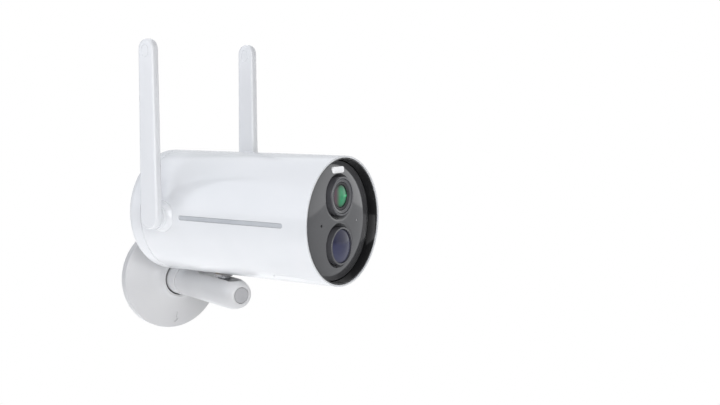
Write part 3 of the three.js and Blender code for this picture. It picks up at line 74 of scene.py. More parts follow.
# %% [markdown]
# ## Camera, stage and light
# A wall camera is seen here as in a catalogue: from its front left and a little above, against
# white. The stage is a pale round floor well below the object, so that it throws light back up at
# the underside without drawing a hard shadow. The strongest soft box stands in front on the left,
# wide ones stand to the left, above and to the right, and a weak one lies under the object. The world
# is nearly dark to matt surfaces and white in reflections, so that glossy plastic still mirrors a studio.

# %% Camera
CAMERA_PLACE = Vector((-0.28692, -0.56564, 0.10480))
CAMERA_LOOK = Vector((0.60144, 0.79286, -0.09821))
CAMERA_LENS = 53.15
SENSOR_WIDTH = 36
NEAREST = 0.01
camera_data = bpy.data.cameras.new("camera")
camera_data.lens = CAMERA_LENS
camera_data.sensor_width = SENSOR_WIDTH
camera_data.clip_start = NEAREST
camera = bpy.data.objects.new("camera", camera_data)
camera.location = CAMERA_PLACE
camera.rotation_mode = "QUATERNION"
camera.rotation_quaternion = CAMERA_LOOK.to_track_quat("-Z", "Y")
bpy.context.scene.collection.objects.link(camera)
bpy.context.scene.camera = camera
print("camera", round((CAMERA_PLACE - (cad_low + cad_high) / 2).length, 3), "m from the object")

# %% Colour helper and node helper
def linear(code):
    """An sRGB hex colour as the linear red, green, blue and alpha that Blender's sockets take."""
    parts = [int(code[i : i + 2], 16) / 255 for i in (1, 3, 5)]
    return [c / 12.92 if c <= 0.04045 else ((c + 0.055) / 1.055) ** 2.4 for c in parts] + [1.0]


def add_node(tree, kind, inputs=None, **settings):
    """Adds a node, sets its properties, and sets or links its inputs."""
    made = tree.nodes.new(kind)
    for key, value in settings.items():
        setattr(made, key, value)
    for key, value in (inputs or {}).items():
        if isinstance(value, bpy.types.NodeSocket):
            tree.links.new(value, made.inputs[key])
        else:
            made.inputs[key].default_value = value
    return made


def new_paint(name, **values):
    """A material, its tree and its shader, with plain values set on the shader's sockets."""
    made = bpy.data.materials.new(name)
    made.use_nodes = True
    shader = made.node_tree.nodes["Principled BSDF"]
    for key, value in values.items():
        shader.inputs[key.replace("_", " ")].default_value = value
    return made, made.node_tree, shader


print("white", [round(v, 3) for v in linear("#ffffff")])

# %% World, floor and soft boxes
scene = bpy.context.scene
scene.view_settings.view_transform = "Standard"
AMBIENT = 0.02
MIRRORED = 0.9
world = bpy.data.worlds.new("studio")
world.use_nodes = True
scene.world = world
tree = world.node_tree
tree.nodes.clear()
seen = add_node(tree, "ShaderNodeLightPath")
ambient = add_node(tree, "ShaderNodeBackground", {"Color": linear("#f3f6ff"), "Strength": AMBIENT})
mirrored = add_node(tree, "ShaderNodeBackground", {"Color": linear("#fafcff"), "Strength": MIRRORED})
backdrop = add_node(tree, "ShaderNodeBackground", {"Color": linear("#ffffff"), "Strength": 1.0})
glossy, direct = seen.outputs["Is Glossy Ray"], seen.outputs["Is Camera Ray"]
lit = add_node(tree, "ShaderNodeMixShader", {0: glossy, 1: ambient.outputs[0], 2: mirrored.outputs[0]})
mixed = add_node(tree, "ShaderNodeMixShader", {0: direct, 1: lit.outputs[0], 2: backdrop.outputs[0]})
add_node(tree, "ShaderNodeOutputWorld", {"Surface": mixed.outputs[0]})

FLOOR_PLACE = (0, -0.03, -0.45)
FLOOR_RADIUS = 0.85
floor_mesh = bpy.data.meshes.new("floor")
shape = bmesh.new()
bmesh.ops.create_circle(shape, cap_ends=True, segments=96, radius=FLOOR_RADIUS)
shape.to_mesh(floor_mesh)
shape.free()
floor_mesh.transform(Matrix.Translation(FLOOR_PLACE))
floor = bpy.data.objects.new("floor", floor_mesh)
scene.collection.objects.link(floor)
floor_look = {"Base_Color": linear("#f4f5f6"), "Roughness": 0.9}
floor_glow = {"Emission_Color": linear("#ffffff"), "Emission_Strength": 0.6}
floor_mesh.materials.append(new_paint("matt_white_floor", **floor_look, **floor_glow)[0])
floor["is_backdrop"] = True


def soft_box(name, place, aim, width, height, watts, colour):
    """A rectangular soft light that stands at a place and faces a point."""
    data = bpy.data.lights.new(name, "AREA")
    data.shape = "RECTANGLE"
    data.size, data.size_y = width, height
    data.energy = watts
    data.color = linear(colour)[:3]
    lamp = bpy.data.objects.new(name, data)
    lamp.location = place
    lamp.rotation_mode = "QUATERNION"
    lamp.rotation_quaternion = (Vector(aim) - Vector(place)).to_track_quat("-Z", "Y")
    lamp.visible_camera = False
    scene.collection.objects.link(lamp)
    return lamp


MIDDLE = (cad_low + cad_high) / 2
soft_box("left_box", (-1.0, 0.1, 0.6), MIDDLE, 1.2, 1.0, 5.2, "#f4f8ff")
soft_box("top_box", (0.0, 0.3, 1.1), MIDDLE, 1.5, 1.5, 6.2, "#f8faff")
soft_box("right_box", (1.25, -0.2, 0.335), MIDDLE, 2.0, 0.8, 3.6, "#ffffff")
soft_box("front_box", (-0.55, -1.2, 0.35), MIDDLE, 1.0, 1.0, 11.5, "#fdfdff")
soft_box("under_box", (-0.15, 0.22, -0.43), MIDDLE, 1.2, 0.9, 1.2, "#fcfdff")

# %% [markdown]
# ## Frames of the two assemblies
# The head is turned away from the arm, so its parts are easiest to draw along its own axis: x
# forward from the front rim, y to its left, z up. The arm has the same kind of frame with its origin
# at the centre of the ball. Both are read from the model: the directions from the joints, and the
# origins from where the parts lie.

# %% Frames
MM = 0.001
joints = {j["name"]: j for j in frame["joints"]}
UP = Vector((0, 0, 1))


def place_from(forward, origin):
    """A matrix that carries millimetres in an assembly's own frame to the model's frame."""
    left = UP.cross(forward)
    turn = Matrix((forward, left, UP)).transposed().to_4x4()
    return Matrix.Translation(origin) @ turn @ Matrix.Scale(MM, 4)


def local_box(node, place):
    """Lowest and highest corner of a CAD node in an assembly's own frame, in millimetres."""
    back = place.inverted()
    points = np.array([back @ v.co for v in nodes[node].data.vertices])
    return points.min(0), points.max(0)


fold_axis = Vector(joints["antenna_left_fold"]["axis"]).normalized()
head_forward = fold_axis.cross(UP)
head_turn = place_from(head_forward, Vector((0, 0, 0)))
shell_high = local_box("housing_shell", head_turn)[1]
cover_low, cover_high = local_box("rear_cover", head_turn)
cover_middle = (cover_low + cover_high) / 2
HEAD = head_turn @ Matrix.Translation((shell_high[0], cover_middle[1], cover_middle[2]))
arm_forward = Vector(joints["arm_spin"]["axis"]).normalized()
straight = place_from(arm_forward, Vector((0, 0, 0)))
arm_low, arm_high = local_box("arm_tube", straight)
stud_low, stud_high = local_box("ball_stud", straight)
stud_middle = (stud_low + stud_high) / 2
ARM = straight @ Matrix.Translation((stud_middle[0], stud_middle[1], (arm_low[2] + arm_high[2]) / 2))
HEAD_RADIUS = (cover_high[1] - cover_low[1]) / 2
print("head radius", round(HEAD_RADIUS, 2), "head origin", [round(v, 4) for v in HEAD.translation])
print("arm origin", [round(v, 4) for v in ARM.translation])

# %% [markdown]
# ## Shape helpers
# Nearly every piece is either turned (a profile spun round an axis) or a plate cut to an outline
# with rounded edges. Real moulded parts have no knife edges, so each corner of a profile carries the
# radius of the arc that rounds it. Holes and recesses are cut with exact booleans, whose cutters
# flare at the mouth to leave the small chamfer that a mould leaves.

# %% Profiles
def rounded(corners, steps=6, closed=False):
    """Points of a path whose corners (along, radius, fillet) are replaced by arcs."""
    count = len(corners)
    points = []
    for i, corner in enumerate(corners):
        here = Vector(corner[:2])
        fillet = corner[2] if len(corner) > 2 else 0
        if not fillet or (not closed and i in (0, count - 1)):
            points.append(here)
            continue
        before = Vector(corners[i - 1][:2]) - here
        after = Vector(corners[(i + 1) % count][:2]) - here
        opening = before.angle(after)
        reach = min(fillet / math.tan(opening / 2), before.length * 0.49, after.length * 0.49)
        start = here + before.normalized() * reach
        end = here + after.normalized() * reach
        for k in range(steps + 1):
            t = k / steps
            points.append(start * (1 - t) ** 2 + here * 2 * t * (1 - t) + end * t**2)
    return points


def flowing(points, steps=8):
    """A smooth run through points, as a draughtsman's spline."""
    spots = [Vector(p) for p in points]
    spots = [2 * spots[0] - spots[1], *spots, 2 * spots[-1] - spots[-2]]
    run = []
    for a, b, c, d in zip(spots, spots[1:], spots[2:], spots[3:]):
        for k in range(steps):
            t = k / steps
            bend = 2 * a - 5 * b + 4 * c - d
            twist = 3 * b - a - 3 * c + d
            run.append(0.5 * (2 * b + (c - a) * t + bend * t**2 + twist * t**3))
    return run + [spots[-2]]


print("a rounded corner has", len(rounded([(0, 0), (5, 0, 1), (5, 5)])), "points")

# %% Mesh makers
SHARP = math.radians(32)
ON_AXIS = 1e-6
WELD = 1e-4
QUARTER = math.pi / 2
AXES = {
    "X": Matrix.Identity(4), "Y": Matrix.Rotation(QUARTER, 4, "Z"), "Z": Matrix.Rotation(-QUARTER, 4, "Y"),
}


def made_object(name, shape, place):
    """Turns a bmesh in millimetres into an object whose place is in its mesh."""
    bmesh.ops.remove_doubles(shape, verts=shape.verts, dist=WELD)
    bmesh.ops.transform(shape, matrix=place, verts=shape.verts)
    bmesh.ops.recalc_face_normals(shape, faces=shape.faces)
    mesh = bpy.data.meshes.new(name)
    shape.to_mesh(mesh)
    shape.free()
    made = bpy.data.objects.new(name, mesh)
    scene.collection.objects.link(made)
    return made


def spun(name, path, place, segments=128, axis="X", centre=(0, 0, 0), closed=True):
    """Spins a path of (along, radius) round an axis through a centre."""
    shape = bmesh.new()
    angles = [2 * math.pi * k / segments for k in range(segments)]
    turns = [(math.cos(angle), math.sin(angle)) for angle in angles]
    rings = []
    for along, radius in path:
        spokes = turns if radius >= ON_AXIS else [(0, 0)]
        rings.append([shape.verts.new((along, radius * c, radius * s)) for c, s in spokes])
    if closed and len(rings[0]) > 1:
        rings.append(rings[0])
    for a, b in zip(rings, rings[1:]):
        if len(a) == 1 and len(b) == 1:
            continue
        for k in range(segments):
            n = (k + 1) % segments
            if len(a) == 1:
                shape.faces.new((a[0], b[k], b[n]))
            elif len(b) == 1:
                shape.faces.new((a[k], b[0], a[n]))
            else:
                shape.faces.new((a[k], b[k], b[n], a[n]))
    return made_object(name, shape, place @ Matrix.Translation(centre) @ AXES[axis])


def plate(name, outline, levels, place):
    """Stacks an outline at levels of (height, inset) into a closed plate that lies in the XY plane."""
    shape = bmesh.new()
    rings = [[shape.verts.new((x, y, height)) for x, y in outline(inset)] for height, inset in levels]
    shape.faces.new(rings[0])
    shape.faces.new(rings[-1])
    for a, b in zip(rings, rings[1:]):
        for k in range(len(a)):
            n = (k + 1) % len(a)
            shape.faces.new((a[k], b[k], b[n], a[n]))
    return made_object(name, shape, place)


def edge_levels(low, high, radius, steps=5):
    """Levels of a plate whose two rims are rounded to a radius."""
    arc = [(math.sin(k / steps * math.pi / 2), math.cos(k / steps * math.pi / 2)) for k in range(steps + 1)]
    lower = [(low + radius * (1 - c), radius * (1 - s)) for s, c in arc]
    return lower + [(high - h + low, inset) for h, inset in reversed(lower)]


def arc(x, y, radius, start, sweep, steps):
    """Points of an arc round a centre, in the plane of an outline."""
    angles = [start + sweep * k / steps for k in range(steps + 1)]
    return [(x + radius * math.cos(angle), y + radius * math.sin(angle)) for angle in angles]


def slot_outline(a, b, half, steps=20):
    """Outline of a slot from a to b along x, rounded at both ends."""
    ends = [(b - half, -QUARTER), (a + half, QUARTER)]
    return lambda inset: [p for x, start in ends for p in arc(x, 0, half - inset, start, math.pi, steps)]


def panel_outline(x0, x1, half, low_corner, high_corner, steps=10):
    """Outline of a rectangle with one corner radius at x0 and one at x1."""
    turns = [
        (x1 - high_corner, -half + high_corner, high_corner, -QUARTER),
        (x1 - high_corner, half - high_corner, high_corner, 0),
        (x0 + low_corner, half - low_corner, low_corner, QUARTER),
        (x0 + low_corner, -half + low_corner, low_corner, math.pi),
    ]
    return lambda inset: [
        p
        for x, y, r, start in turns for p in arc(x, y, r - inset, start, QUARTER, steps)
    ]


def evaluated_mesh(piece):
    """The mesh that a piece's modifiers make."""
    bpy.context.view_layer.update()
    depsgraph = bpy.context.evaluated_depsgraph_get()
    return bpy.data.meshes.new_from_object(piece.evaluated_get(depsgraph))


def combine(target, other, operation):
    """Joins or cuts two closed objects and removes the second."""
    step = target.modifiers.new("combine", "BOOLEAN")
    step.operation = operation
    step.solver = "EXACT"
    step.object = other
    result = evaluated_mesh(target)
    target.modifiers.remove(step)
    target.data = result
    bpy.data.objects.remove(other)
    return target


def cut(target, cutter):
    """Takes a cutter out of a closed object."""
    return combine(target, cutter, "DIFFERENCE")


def turned(name, corners, place, segments=128, axis="X", centre=(0, 0, 0), closed=True, steps=6):
    """Spins a path whose corners are rounded."""
    return spun(name, rounded(corners, steps, closed), place, segments, axis, centre, closed)


def rod(name, start, end, radius, place, segments=48, axis="X", centre=(0, 0, 0)):
    """A plain cylinder from start to end along an axis."""
    path = [(start, 0), (start, radius), (end, radius), (end, 0)]
    return spun(name, path, place, segments, axis, centre, closed=False)


# A plate's outline lies across its height. These turn it so that it stands along an axis.
ALONG_X = Matrix(((0, 0, 1, 0), (1, 0, 0, 0), (0, 1, 0, 0), (0, 0, 0, 1)))
ALONG_Y = Matrix(((1, 0, 0, 0), (0, 0, 1, 0), (0, 1, 0, 0), (0, 0, 0, 1)))
print("a plate along Y takes (x, z) outlines:", list(ALONG_Y @ Vector((1, 2, 3))))

# %% [markdown]
# ## Materials
# Most of the outside is injection-moulded ABS with a polished mould face. Such a surface is glossy
# but never quite even: the gloss drifts over a few centimetres, and a fine orange peel makes
# reflections swim. Each plastic below has both, from noise in object coordinates with its scale
# worked out in millimetres.

# %% Plastics
def per_metre(size_mm):
    """Noise scale in object coordinates whose features are about this many millimetres wide."""
    return 1000 / size_mm


def noise(tree, place, size_mm, detail):
    """Noise whose features are about this many millimetres wide."""
    inputs = {"Vector": place, "Scale": per_metre(size_mm), "Detail": detail}
    return add_node(tree, "ShaderNodeTexNoise", inputs).outputs["Fac"]


def mapped(tree, value, start, end, low, high):
    """A value's run from start to end as a run from low to high."""
    inputs = {"Value": value, "From Min": start, "From Max": end, "To Min": low, "To Max": high}
    return add_node(tree, "ShaderNodeMapRange", inputs).outputs["Result"]


def graded(tree, factor, first, last, *between):
    """A colour ramp through stops of (position, hex colour)."""
    ramp = add_node(tree, "ShaderNodeValToRGB", {"Fac": factor})
    stops = ramp.color_ramp.elements
    for stop, (position, code) in zip(list(stops), (first, last)):
        stop.position, stop.color = position, linear(code)
    for position, code in between:
        stops.new(position).color = linear(code)
    return ramp.outputs["Color"]


def embossed(tree, shader, height, depth_mm, strength=1.0):
    """Drives the shader's normal with a bump of a depth in millimetres."""
    inputs = {"Height": height, "Strength": strength, "Distance": depth_mm * MM}
    tree.links.new(add_node(tree, "ShaderNodeBump", inputs).outputs["Normal"], shader.inputs["Normal"])


def moulded(name, colour, shade, drift_mm, gloss, peel_mm, peel_depth, coat=0.0, ior=1.5):
    """Moulded plastic: colour drifting between two shades, uneven gloss and orange peel."""
    made, tree, shader = new_paint(name, IOR=ior, Coat_Weight=coat, Coat_Roughness=0.03)
    place = add_node(tree, "ShaderNodeTexCoord").outputs["Object"]
    drift = noise(tree, place, drift_mm, 3.0)
    tree.links.new(graded(tree, drift, (0.3, shade), (0.7, colour)), shader.inputs["Base Color"])
    tree.links.new(mapped(tree, drift, 0.3, 0.7, *gloss), shader.inputs["Roughness"])
    embossed(tree, shader, noise(tree, place, peel_mm, 2.0), peel_depth)
    return made


# Polished white ABS: a bright, faintly blue body whose reflections swim a little.
WHITE_ABS = moulded("polished_white_abs", "#eeeff1", "#eaecee", 30, (0.2, 0.26), 1.6, 0.0012, 0.25)
# The same ABS on the mount, from a plainer mould and so a touch less glossy than the head, painted a darker
# grey to stand in for the shade the mount lies in.
SHADED_MOUNT_ABS = moulded("satin_white_abs_painted_shade", "#d5d5d5", "#d0d0d1", 25, (0.28, 0.36), 1.2, 0.0015)
# Grey ABS of the side inlays, with a fine texture that kills the gloss.
INLAY_ABS = moulded("textured_grey_abs", "#c3c6ca", "#babdc2", 8, (0.42, 0.52), 0.4, 0.004)
# Piano-black ABS of the hood: almost a mirror.
PIANO_BLACK = moulded("piano_black_abs", "#0a0a0b", "#0d0d0f", 20, (0.06, 0.1), 2.0, 0.0004, 0.15)
# Smoked acrylic of the front cover: dark grey under a clear glossy face.
SMOKED_ACRYLIC = moulded("smoked_acrylic", "#535355", "#4f4f51", 18, (0.07, 0.11), 2.5, 0.0004, 0.4, 1.5)
# Black polycarbonate of the lens tube and speaker: matt enough to swallow light.
MATT_BLACK = moulded("matt_black_polycarbonate", "#1b1b1d", "#222225", 6, (0.4, 0.5), 0.3, 0.003)
# Dark satin rings round the lens and the motion sensor.
SATIN_TRIM = moulded("satin_dark_trim", "#5a5a5d", "#525256", 6, (0.2, 0.28), 0.5, 0.001, 0.2)
# Grey rubbery plug in the arm's end.
PLUG_TPE = moulded("grey_tpe", "#b4b4b5", "#acacae", 5, (0.45, 0.6), 0.35, 0.006)
# Soft black silicone of the seals.
SILICONE = moulded("black_silicone", "#202022", "#2a2a2c", 6, (0.6, 0.8), 0.5, 0.008)
# Natural grey ABS of the inner frame, never polished.
FRAME_ABS = moulded("unpolished_grey_abs", "#5c5f63", "#54575b", 12, (0.5, 0.6), 0.6, 0.006)
# Opal polycarbonate of the spotlight window and light pipe: milky, with a faint painted glow that makes it
# read bright.
OPAL = moulded("opal_polycarbonate", "#ffffff", "#f6f8fb", 6, (0.2, 0.3), 1.0, 0.001, 0.3)
opal_sockets = OPAL.node_tree.nodes["Principled BSDF"].inputs
# Painted light: a faint white glow that makes the opal parts read bright.
opal_sockets["Emission Color"].default_value = linear("#ffffff")
opal_sockets["Emission Strength"].default_value = 0.2
# Heat-shrink wrap of the battery cells.
SHRINK_WRAP = moulded("blue_shrink_wrap", "#2d6fb1", "#2863a2", 9, (0.25, 0.35), 2.0, 0.01, 0.2)
print("plastics ready")

# %% [markdown]
# ### Metals and boards
# The stud and screws are nickel-plated steel, turned on a lathe, so fine rings run round them. The
# insert is turned brass and the antenna element is rolled copper. Circuit boards are fibreglass
# under green solder mask, with copper traces showing through as lighter lines.

# %% Metals
def turned_metal(name, colour, gloss, groove_mm, groove_depth):
    """Machined metal with fine tool marks."""
    made, tree, shader = new_paint(name, Metallic=1.0, Base_Color=linear(colour))
    place = add_node(tree, "ShaderNodeTexCoord").outputs["Object"]
    blotch = noise(tree, place, 4.0, 3.0)
    tree.links.new(mapped(tree, blotch, 0.3, 0.7, *gloss), shader.inputs["Roughness"])
    inputs = {"Vector": place, "Scale": per_metre(groove_mm) / 20, "Distortion": 0.6}
    rings = add_node(tree, "ShaderNodeTexWave", inputs, bands_direction="Z")
    embossed(tree, shader, rings.outputs["Fac"], groove_depth)
    return made


NICKEL_STEEL = turned_metal("nickel_plated_steel", "#b9bbbe", (0.22, 0.34), 0.25, 0.002)
TURNED_BRASS = turned_metal("turned_brass", "#c8a455", (0.2, 0.3), 0.25, 0.002)
ROLLED_COPPER = turned_metal("rolled_copper", "#c98a63", (0.3, 0.42), 0.4, 0.002)
print("metals ready")

# %% Circuit board
SOLDER_MASK, tree, shader = new_paint("green_solder_mask", Roughness=0.32)
place = add_node(tree, "ShaderNodeTexCoord").outputs["Object"]
cells = {"Vector": place, "Scale": per_metre(2.2), "Randomness": 0.75}
traces = add_node(tree, "ShaderNodeTexVoronoi", cells, distance="MANHATTAN", feature="F1")
lines = graded(tree, traces.outputs["Distance"], (0.28, "#2f7a4e"), (0.34, "#1b5232"))
tree.links.new(lines, shader.inputs["Base Color"])
embossed(tree, shader, lines, 0.03, 0.6)
print("board ready")

# %% [markdown]
# ### Coated glass
# A lens is clear, but what the eye sees is its coating, painted green and darker towards the rim. The pink
# that the coating reflects towards one side is a painted reflection on one fixed side, and a faint beam of
# glare across the middle is a painted highlight that glows. The motion sensor's window is thin violet
# polyethylene over a dark can, with painted shade that darkens it towards its top. Both are drawn as glossy
# bodies. A Mapping node brings each one's own axis to zero, and the colours follow from there.

# %% Glass
def axis_distance(tree, centre, size_mm):
    """Distance and offset from a head-wise axis through a centre, in units of size_mm."""
    place = add_node(tree, "ShaderNodeTexCoord").outputs["Object"]
    turn = math.atan2(fold_axis.y, fold_axis.x)
    middle = add_node(tree, "ShaderNodeVectorMath", {0: place, 1: centre}, operation="SUBTRACT")
    local = add_node(
        tree, "ShaderNodeMapping",
        {"Vector": middle.outputs[0], "Rotation": (0, 0, -turn), "Scale": (1000 / size_mm,) * 3},
    )
    parts = add_node(tree, "ShaderNodeSeparateXYZ", {"Vector": local.outputs["Vector"]})
    across = add_node(tree, "ShaderNodeCombineXYZ", {"X": parts.outputs["X"], "Z": parts.outputs["Z"]})
    length = add_node(tree, "ShaderNodeVectorMath", {0: across.outputs[0]}, operation="LENGTH")
    return length.outputs["Value"], parts.outputs["X"], parts.outputs["Z"]


def tinted(tree, factor, first, second):
    """A colour that runs from the first to the second with a factor."""
    inputs = {"Factor": factor, 6: first, 7: second}
    return add_node(tree, "ShaderNodeMix", inputs, data_type="RGBA").outputs[2]


def round_part(node):
    """Centre of an upright round CAD node, and its radius in millimetres."""
    low, high = (Vector(v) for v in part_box(node))
    return (low + high) / 2, (high.z - low.z) / 2 / MM


LENS_CENTRE, LENS_RADIUS = round_part("front_lens")
glass_look = {"Roughness": 0.06, "IOR": 1.3, "Coat_Weight": 0.1, "Coat_Roughness": 0.02}
COATED_GLASS, tree, shader = new_paint("green_coated_glass", **glass_look)
radius, across, height = axis_distance(tree, LENS_CENTRE, LENS_RADIUS)
greens = ((0.35, "#36a872"), (0.72, "#2f9866"), (0.9, "#1d6846"))
rings = graded(tree, radius, (0.0, "#2f9a68"), (1.0, "#123d28"), *greens)
# Painted reflection: the coating's pink, laid on one fixed side of the lens.
side = mapped(tree, across, -0.15, -0.75, 0.0, 0.92)
tree.links.new(tinted(tree, side, rings, linear("#6d5560")), shader.inputs["Base Color"])
# Painted highlight: a glowing beam of glare across the middle, stronger on the side away from the pink.
level = add_node(tree, "ShaderNodeMath", {0: height}, operation="ABSOLUTE").outputs[0]
beam = mapped(tree, level, 0.0, 0.16, 1.0, 0.0)
reach = mapped(tree, across, 0.0, 0.7, 0.0, 1.0)
flare = add_node(tree, "ShaderNodeMath", {0: beam, 1: reach}, operation="MULTIPLY").outputs[0]
glow = tinted(tree, flare, linear("#000000"), linear("#5fe39a"))
tree.links.new(glow, shader.inputs["Emission Color"])
shader.inputs["Emission Strength"].default_value = 0.45
print("lens radius", round(LENS_RADIUS, 2), "mm")

PIR_CENTRE, PIR_RADIUS = round_part("pir_lens")
violet_look = {"Roughness": 0.16, "IOR": 1.25, "Coat_Weight": 0.12, "Coat_Roughness": 0.04}
VIOLET_WINDOW, tree, shader = new_paint("violet_sensor_window", **violet_look)
height = axis_distance(tree, PIR_CENTRE, PIR_RADIUS)[2]
# Painted shade: the violet window darkens towards its top.
violets = ((0.55, "#40425f"), (0.66, "#2b2c48"))
painted_top_shade = graded(tree, mapped(tree, height, -1.0, 1.0, 0.0, 1.0), (0.0, "#50526a"), (1.0, "#2c2d4a"), *violets)
tree.links.new(painted_top_shade, shader.inputs["Base Color"])
print("motion sensor radius", round(PIR_RADIUS, 2), "mm")


def finished(piece, body, finish, slot, *replaced, angle=SHARP):
    """Shades a piece and gives it its material, its body and the CAD nodes it stands for; the slot is not
    used.
    """
    piece.data.shade_smooth()
    piece.data.set_sharp_from_angle(angle=angle)
    piece.data.materials.clear()
    piece.data.materials.append(finish)
    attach(piece, body)
    if replaced:
        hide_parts(*replaced)
    low, high = (Vector(v) for v in (piece.bound_box[0], piece.bound_box[6]))
    print(piece.name, len(piece.data.polygons), "faces", [round(v / MM, 1) for v in high - low], "mm")
    return piece


# %% [markdown]
# ## Rings of copies with Geometry Nodes
# Speaker holes and the spanner notches of the lock nut repeat round a circle. One small node tree
# sets a bar on each point of a circle, and its named inputs give the count and the sizes. The result
# is turned into a plain mesh, which then cuts the piece.

# %% Ring tree
def ring_tree():
    """Node group that sets a bar on each point of a circle."""
    tree = bpy.data.node_groups.new("ring_of_bars", "GeometryNodeTree")
    for name, kind, default in (
        ("Count", "NodeSocketInt", 6), ("Circle radius", "NodeSocketFloat", 0.005),
        ("Bar radius", "NodeSocketFloat", 0.001), ("Bar length", "NodeSocketFloat", 0.01),
    ):
        tree.interface.new_socket(name, in_out="INPUT", socket_type=kind).default_value = default
    tree.interface.new_socket("Material", in_out="INPUT", socket_type="NodeSocketMaterial")
    tree.interface.new_socket("Geometry", in_out="OUTPUT", socket_type="NodeSocketGeometry")
    given = add_node(tree, "NodeGroupInput").outputs
    circle = {"Vertices": given["Count"], "Radius": given["Circle radius"]}
    bar = {"Vertices": 24, "Radius": given["Bar radius"], "Depth": given["Bar length"]}
    points = add_node(tree, "GeometryNodeMeshCircle", circle).outputs["Mesh"]
    shape = add_node(tree, "GeometryNodeMeshCylinder", bar).outputs["Mesh"]
    copies = add_node(tree, "GeometryNodeInstanceOnPoints", {"Points": points, "Instance": shape})
    real = add_node(tree, "GeometryNodeRealizeInstances", {"Geometry": copies.outputs["Instances"]})
    coat = {"Geometry": real.outputs["Geometry"], "Material": given["Material"]}
    painted = add_node(tree, "GeometryNodeSetMaterial", coat)
    add_node(tree, "NodeGroupOutput", {"Geometry": painted.outputs["Geometry"]})
    return tree


RING = ring_tree()


def ring_of_bars(name, count, circle_mm, bar_mm, length_mm, place):
    """A plain mesh of bars round a circle in the XY plane of a place."""
    made = bpy.data.objects.new(name, bpy.data.meshes.new(name))
    scene.collection.objects.link(made)
    step = made.modifiers.new("ring", "NODES")
    step.node_group = RING
    values = {
        "Count": count, "Circle radius": circle_mm * MM, "Bar radius": bar_mm * MM,
        "Bar length": length_mm * MM, "Material": MATT_BLACK,
    }
    for item in RING.interface.items_tree:
        if item.item_type == "SOCKET" and item.in_out == "INPUT":
            step[item.identifier] = values[item.name]
    result = evaluated_mesh(made)
    made.modifiers.remove(step)
    result.transform(place @ Matrix.Scale(1 / MM, 4))
    made.data = result
    return made


print("ring tree inputs", [i.name for i in RING.interface.items_tree if i.in_out == "INPUT"])

# %% [markdown]
# ## Head housing
# One long moulding: a tube with a thin lip in front, a groove down each side for the inlay, a
# shallow recess underneath for the port hatch and a boss for the brass insert. It is spun with 256
# steps so that long reflections stay straight, and the cutters flare to chamfer the grooves.

# %% Housing
SEGMENTS = 256
FIT_GAP = 0.25
SHELL_REAR = local_box("housing_shell", HEAD)[0][0]
SHELL_BORE = HEAD_RADIUS - 2
LIP_BORE = HEAD_RADIUS - 1
HOOD_DEPTH = 6.2
housing = turned(
    "housing",
    [
        (SHELL_REAR, SHELL_BORE), (SHELL_REAR, HEAD_RADIUS, 0.22), (0, HEAD_RADIUS, 0.38),
        (0, LIP_BORE, 0.22), (-HOOD_DEPTH, LIP_BORE), (-HOOD_DEPTH, SHELL_BORE),
    ],
    HEAD, SEGMENTS,
)
strip_low, strip_high = local_box("side_strip_left", HEAD)
STRIP_GAP = 0.15
groove_ends = (
    strip_low[0] - STRIP_GAP, strip_high[0] + STRIP_GAP, (strip_high[2] - strip_low[2]) / 2 + STRIP_GAP,
)
GROOVE_FLOOR = HEAD_RADIUS - 1
GROOVE_CHAMFER = 0.12
for side in (1, -1):
    cutter = plate(
        "groove_cutter", slot_outline(*groove_ends),
        [
            (side * GROOVE_FLOOR, 0), (side * (HEAD_RADIUS - GROOVE_CHAMFER), 0),
            (side * (HEAD_RADIUS + 1), -GROOVE_CHAMFER - 1),
        ],
        HEAD @ ALONG_Y,
    )
    cut(housing, cutter)
hatch_low, hatch_high = local_box("port_cover", HEAD)
HATCH_GAP = 0.25
HATCH_HALF = 19
HATCH_REAR = -32
RECESS_DEPTH = 1.3
hatch_ends = (HATCH_REAR, hatch_high[0] + HATCH_GAP)
recess = plate(
    "recess_cutter", panel_outline(hatch_ends[0], hatch_ends[1], HATCH_HALF, 3.5, 6, 14),
    [(-HEAD_RADIUS - 5, 0), (-1, 0)], HEAD,
)
core = rod("recess_core", -60, 10, HEAD_RADIUS - RECESS_DEPTH, HEAD, SEGMENTS)
cut(housing, cut(recess, core))
cup_low, cup_high = local_box("port_cup", HEAD)
CUP_WALL = 1.5
pocket = plate(
    "pocket_cutter",
    panel_outline(cup_low[0] + CUP_WALL, cup_high[0] - CUP_WALL, cup_high[1] - CUP_WALL, 0.6, 0.6, 4),
    [(-HEAD_RADIUS - 5, 0), (-20, 0)], HEAD,
)
cut(housing, pocket)
hinge_place = HEAD.inverted() @ Vector(joints["hatch_hinge"]["pos_m"])
HINGE_RADIUS = 0.7
HINGE_HALF = 3.4
CHANNEL_PLAY = 0.3
RUNNING_GAP = 0.08


def hinge_rod(name, half, radius):
    """A rod round the hatch's hinge axis."""
    return rod(name, -half, half, radius, HEAD, 32, "Y", (hinge_place.x, 0, hinge_place.z))


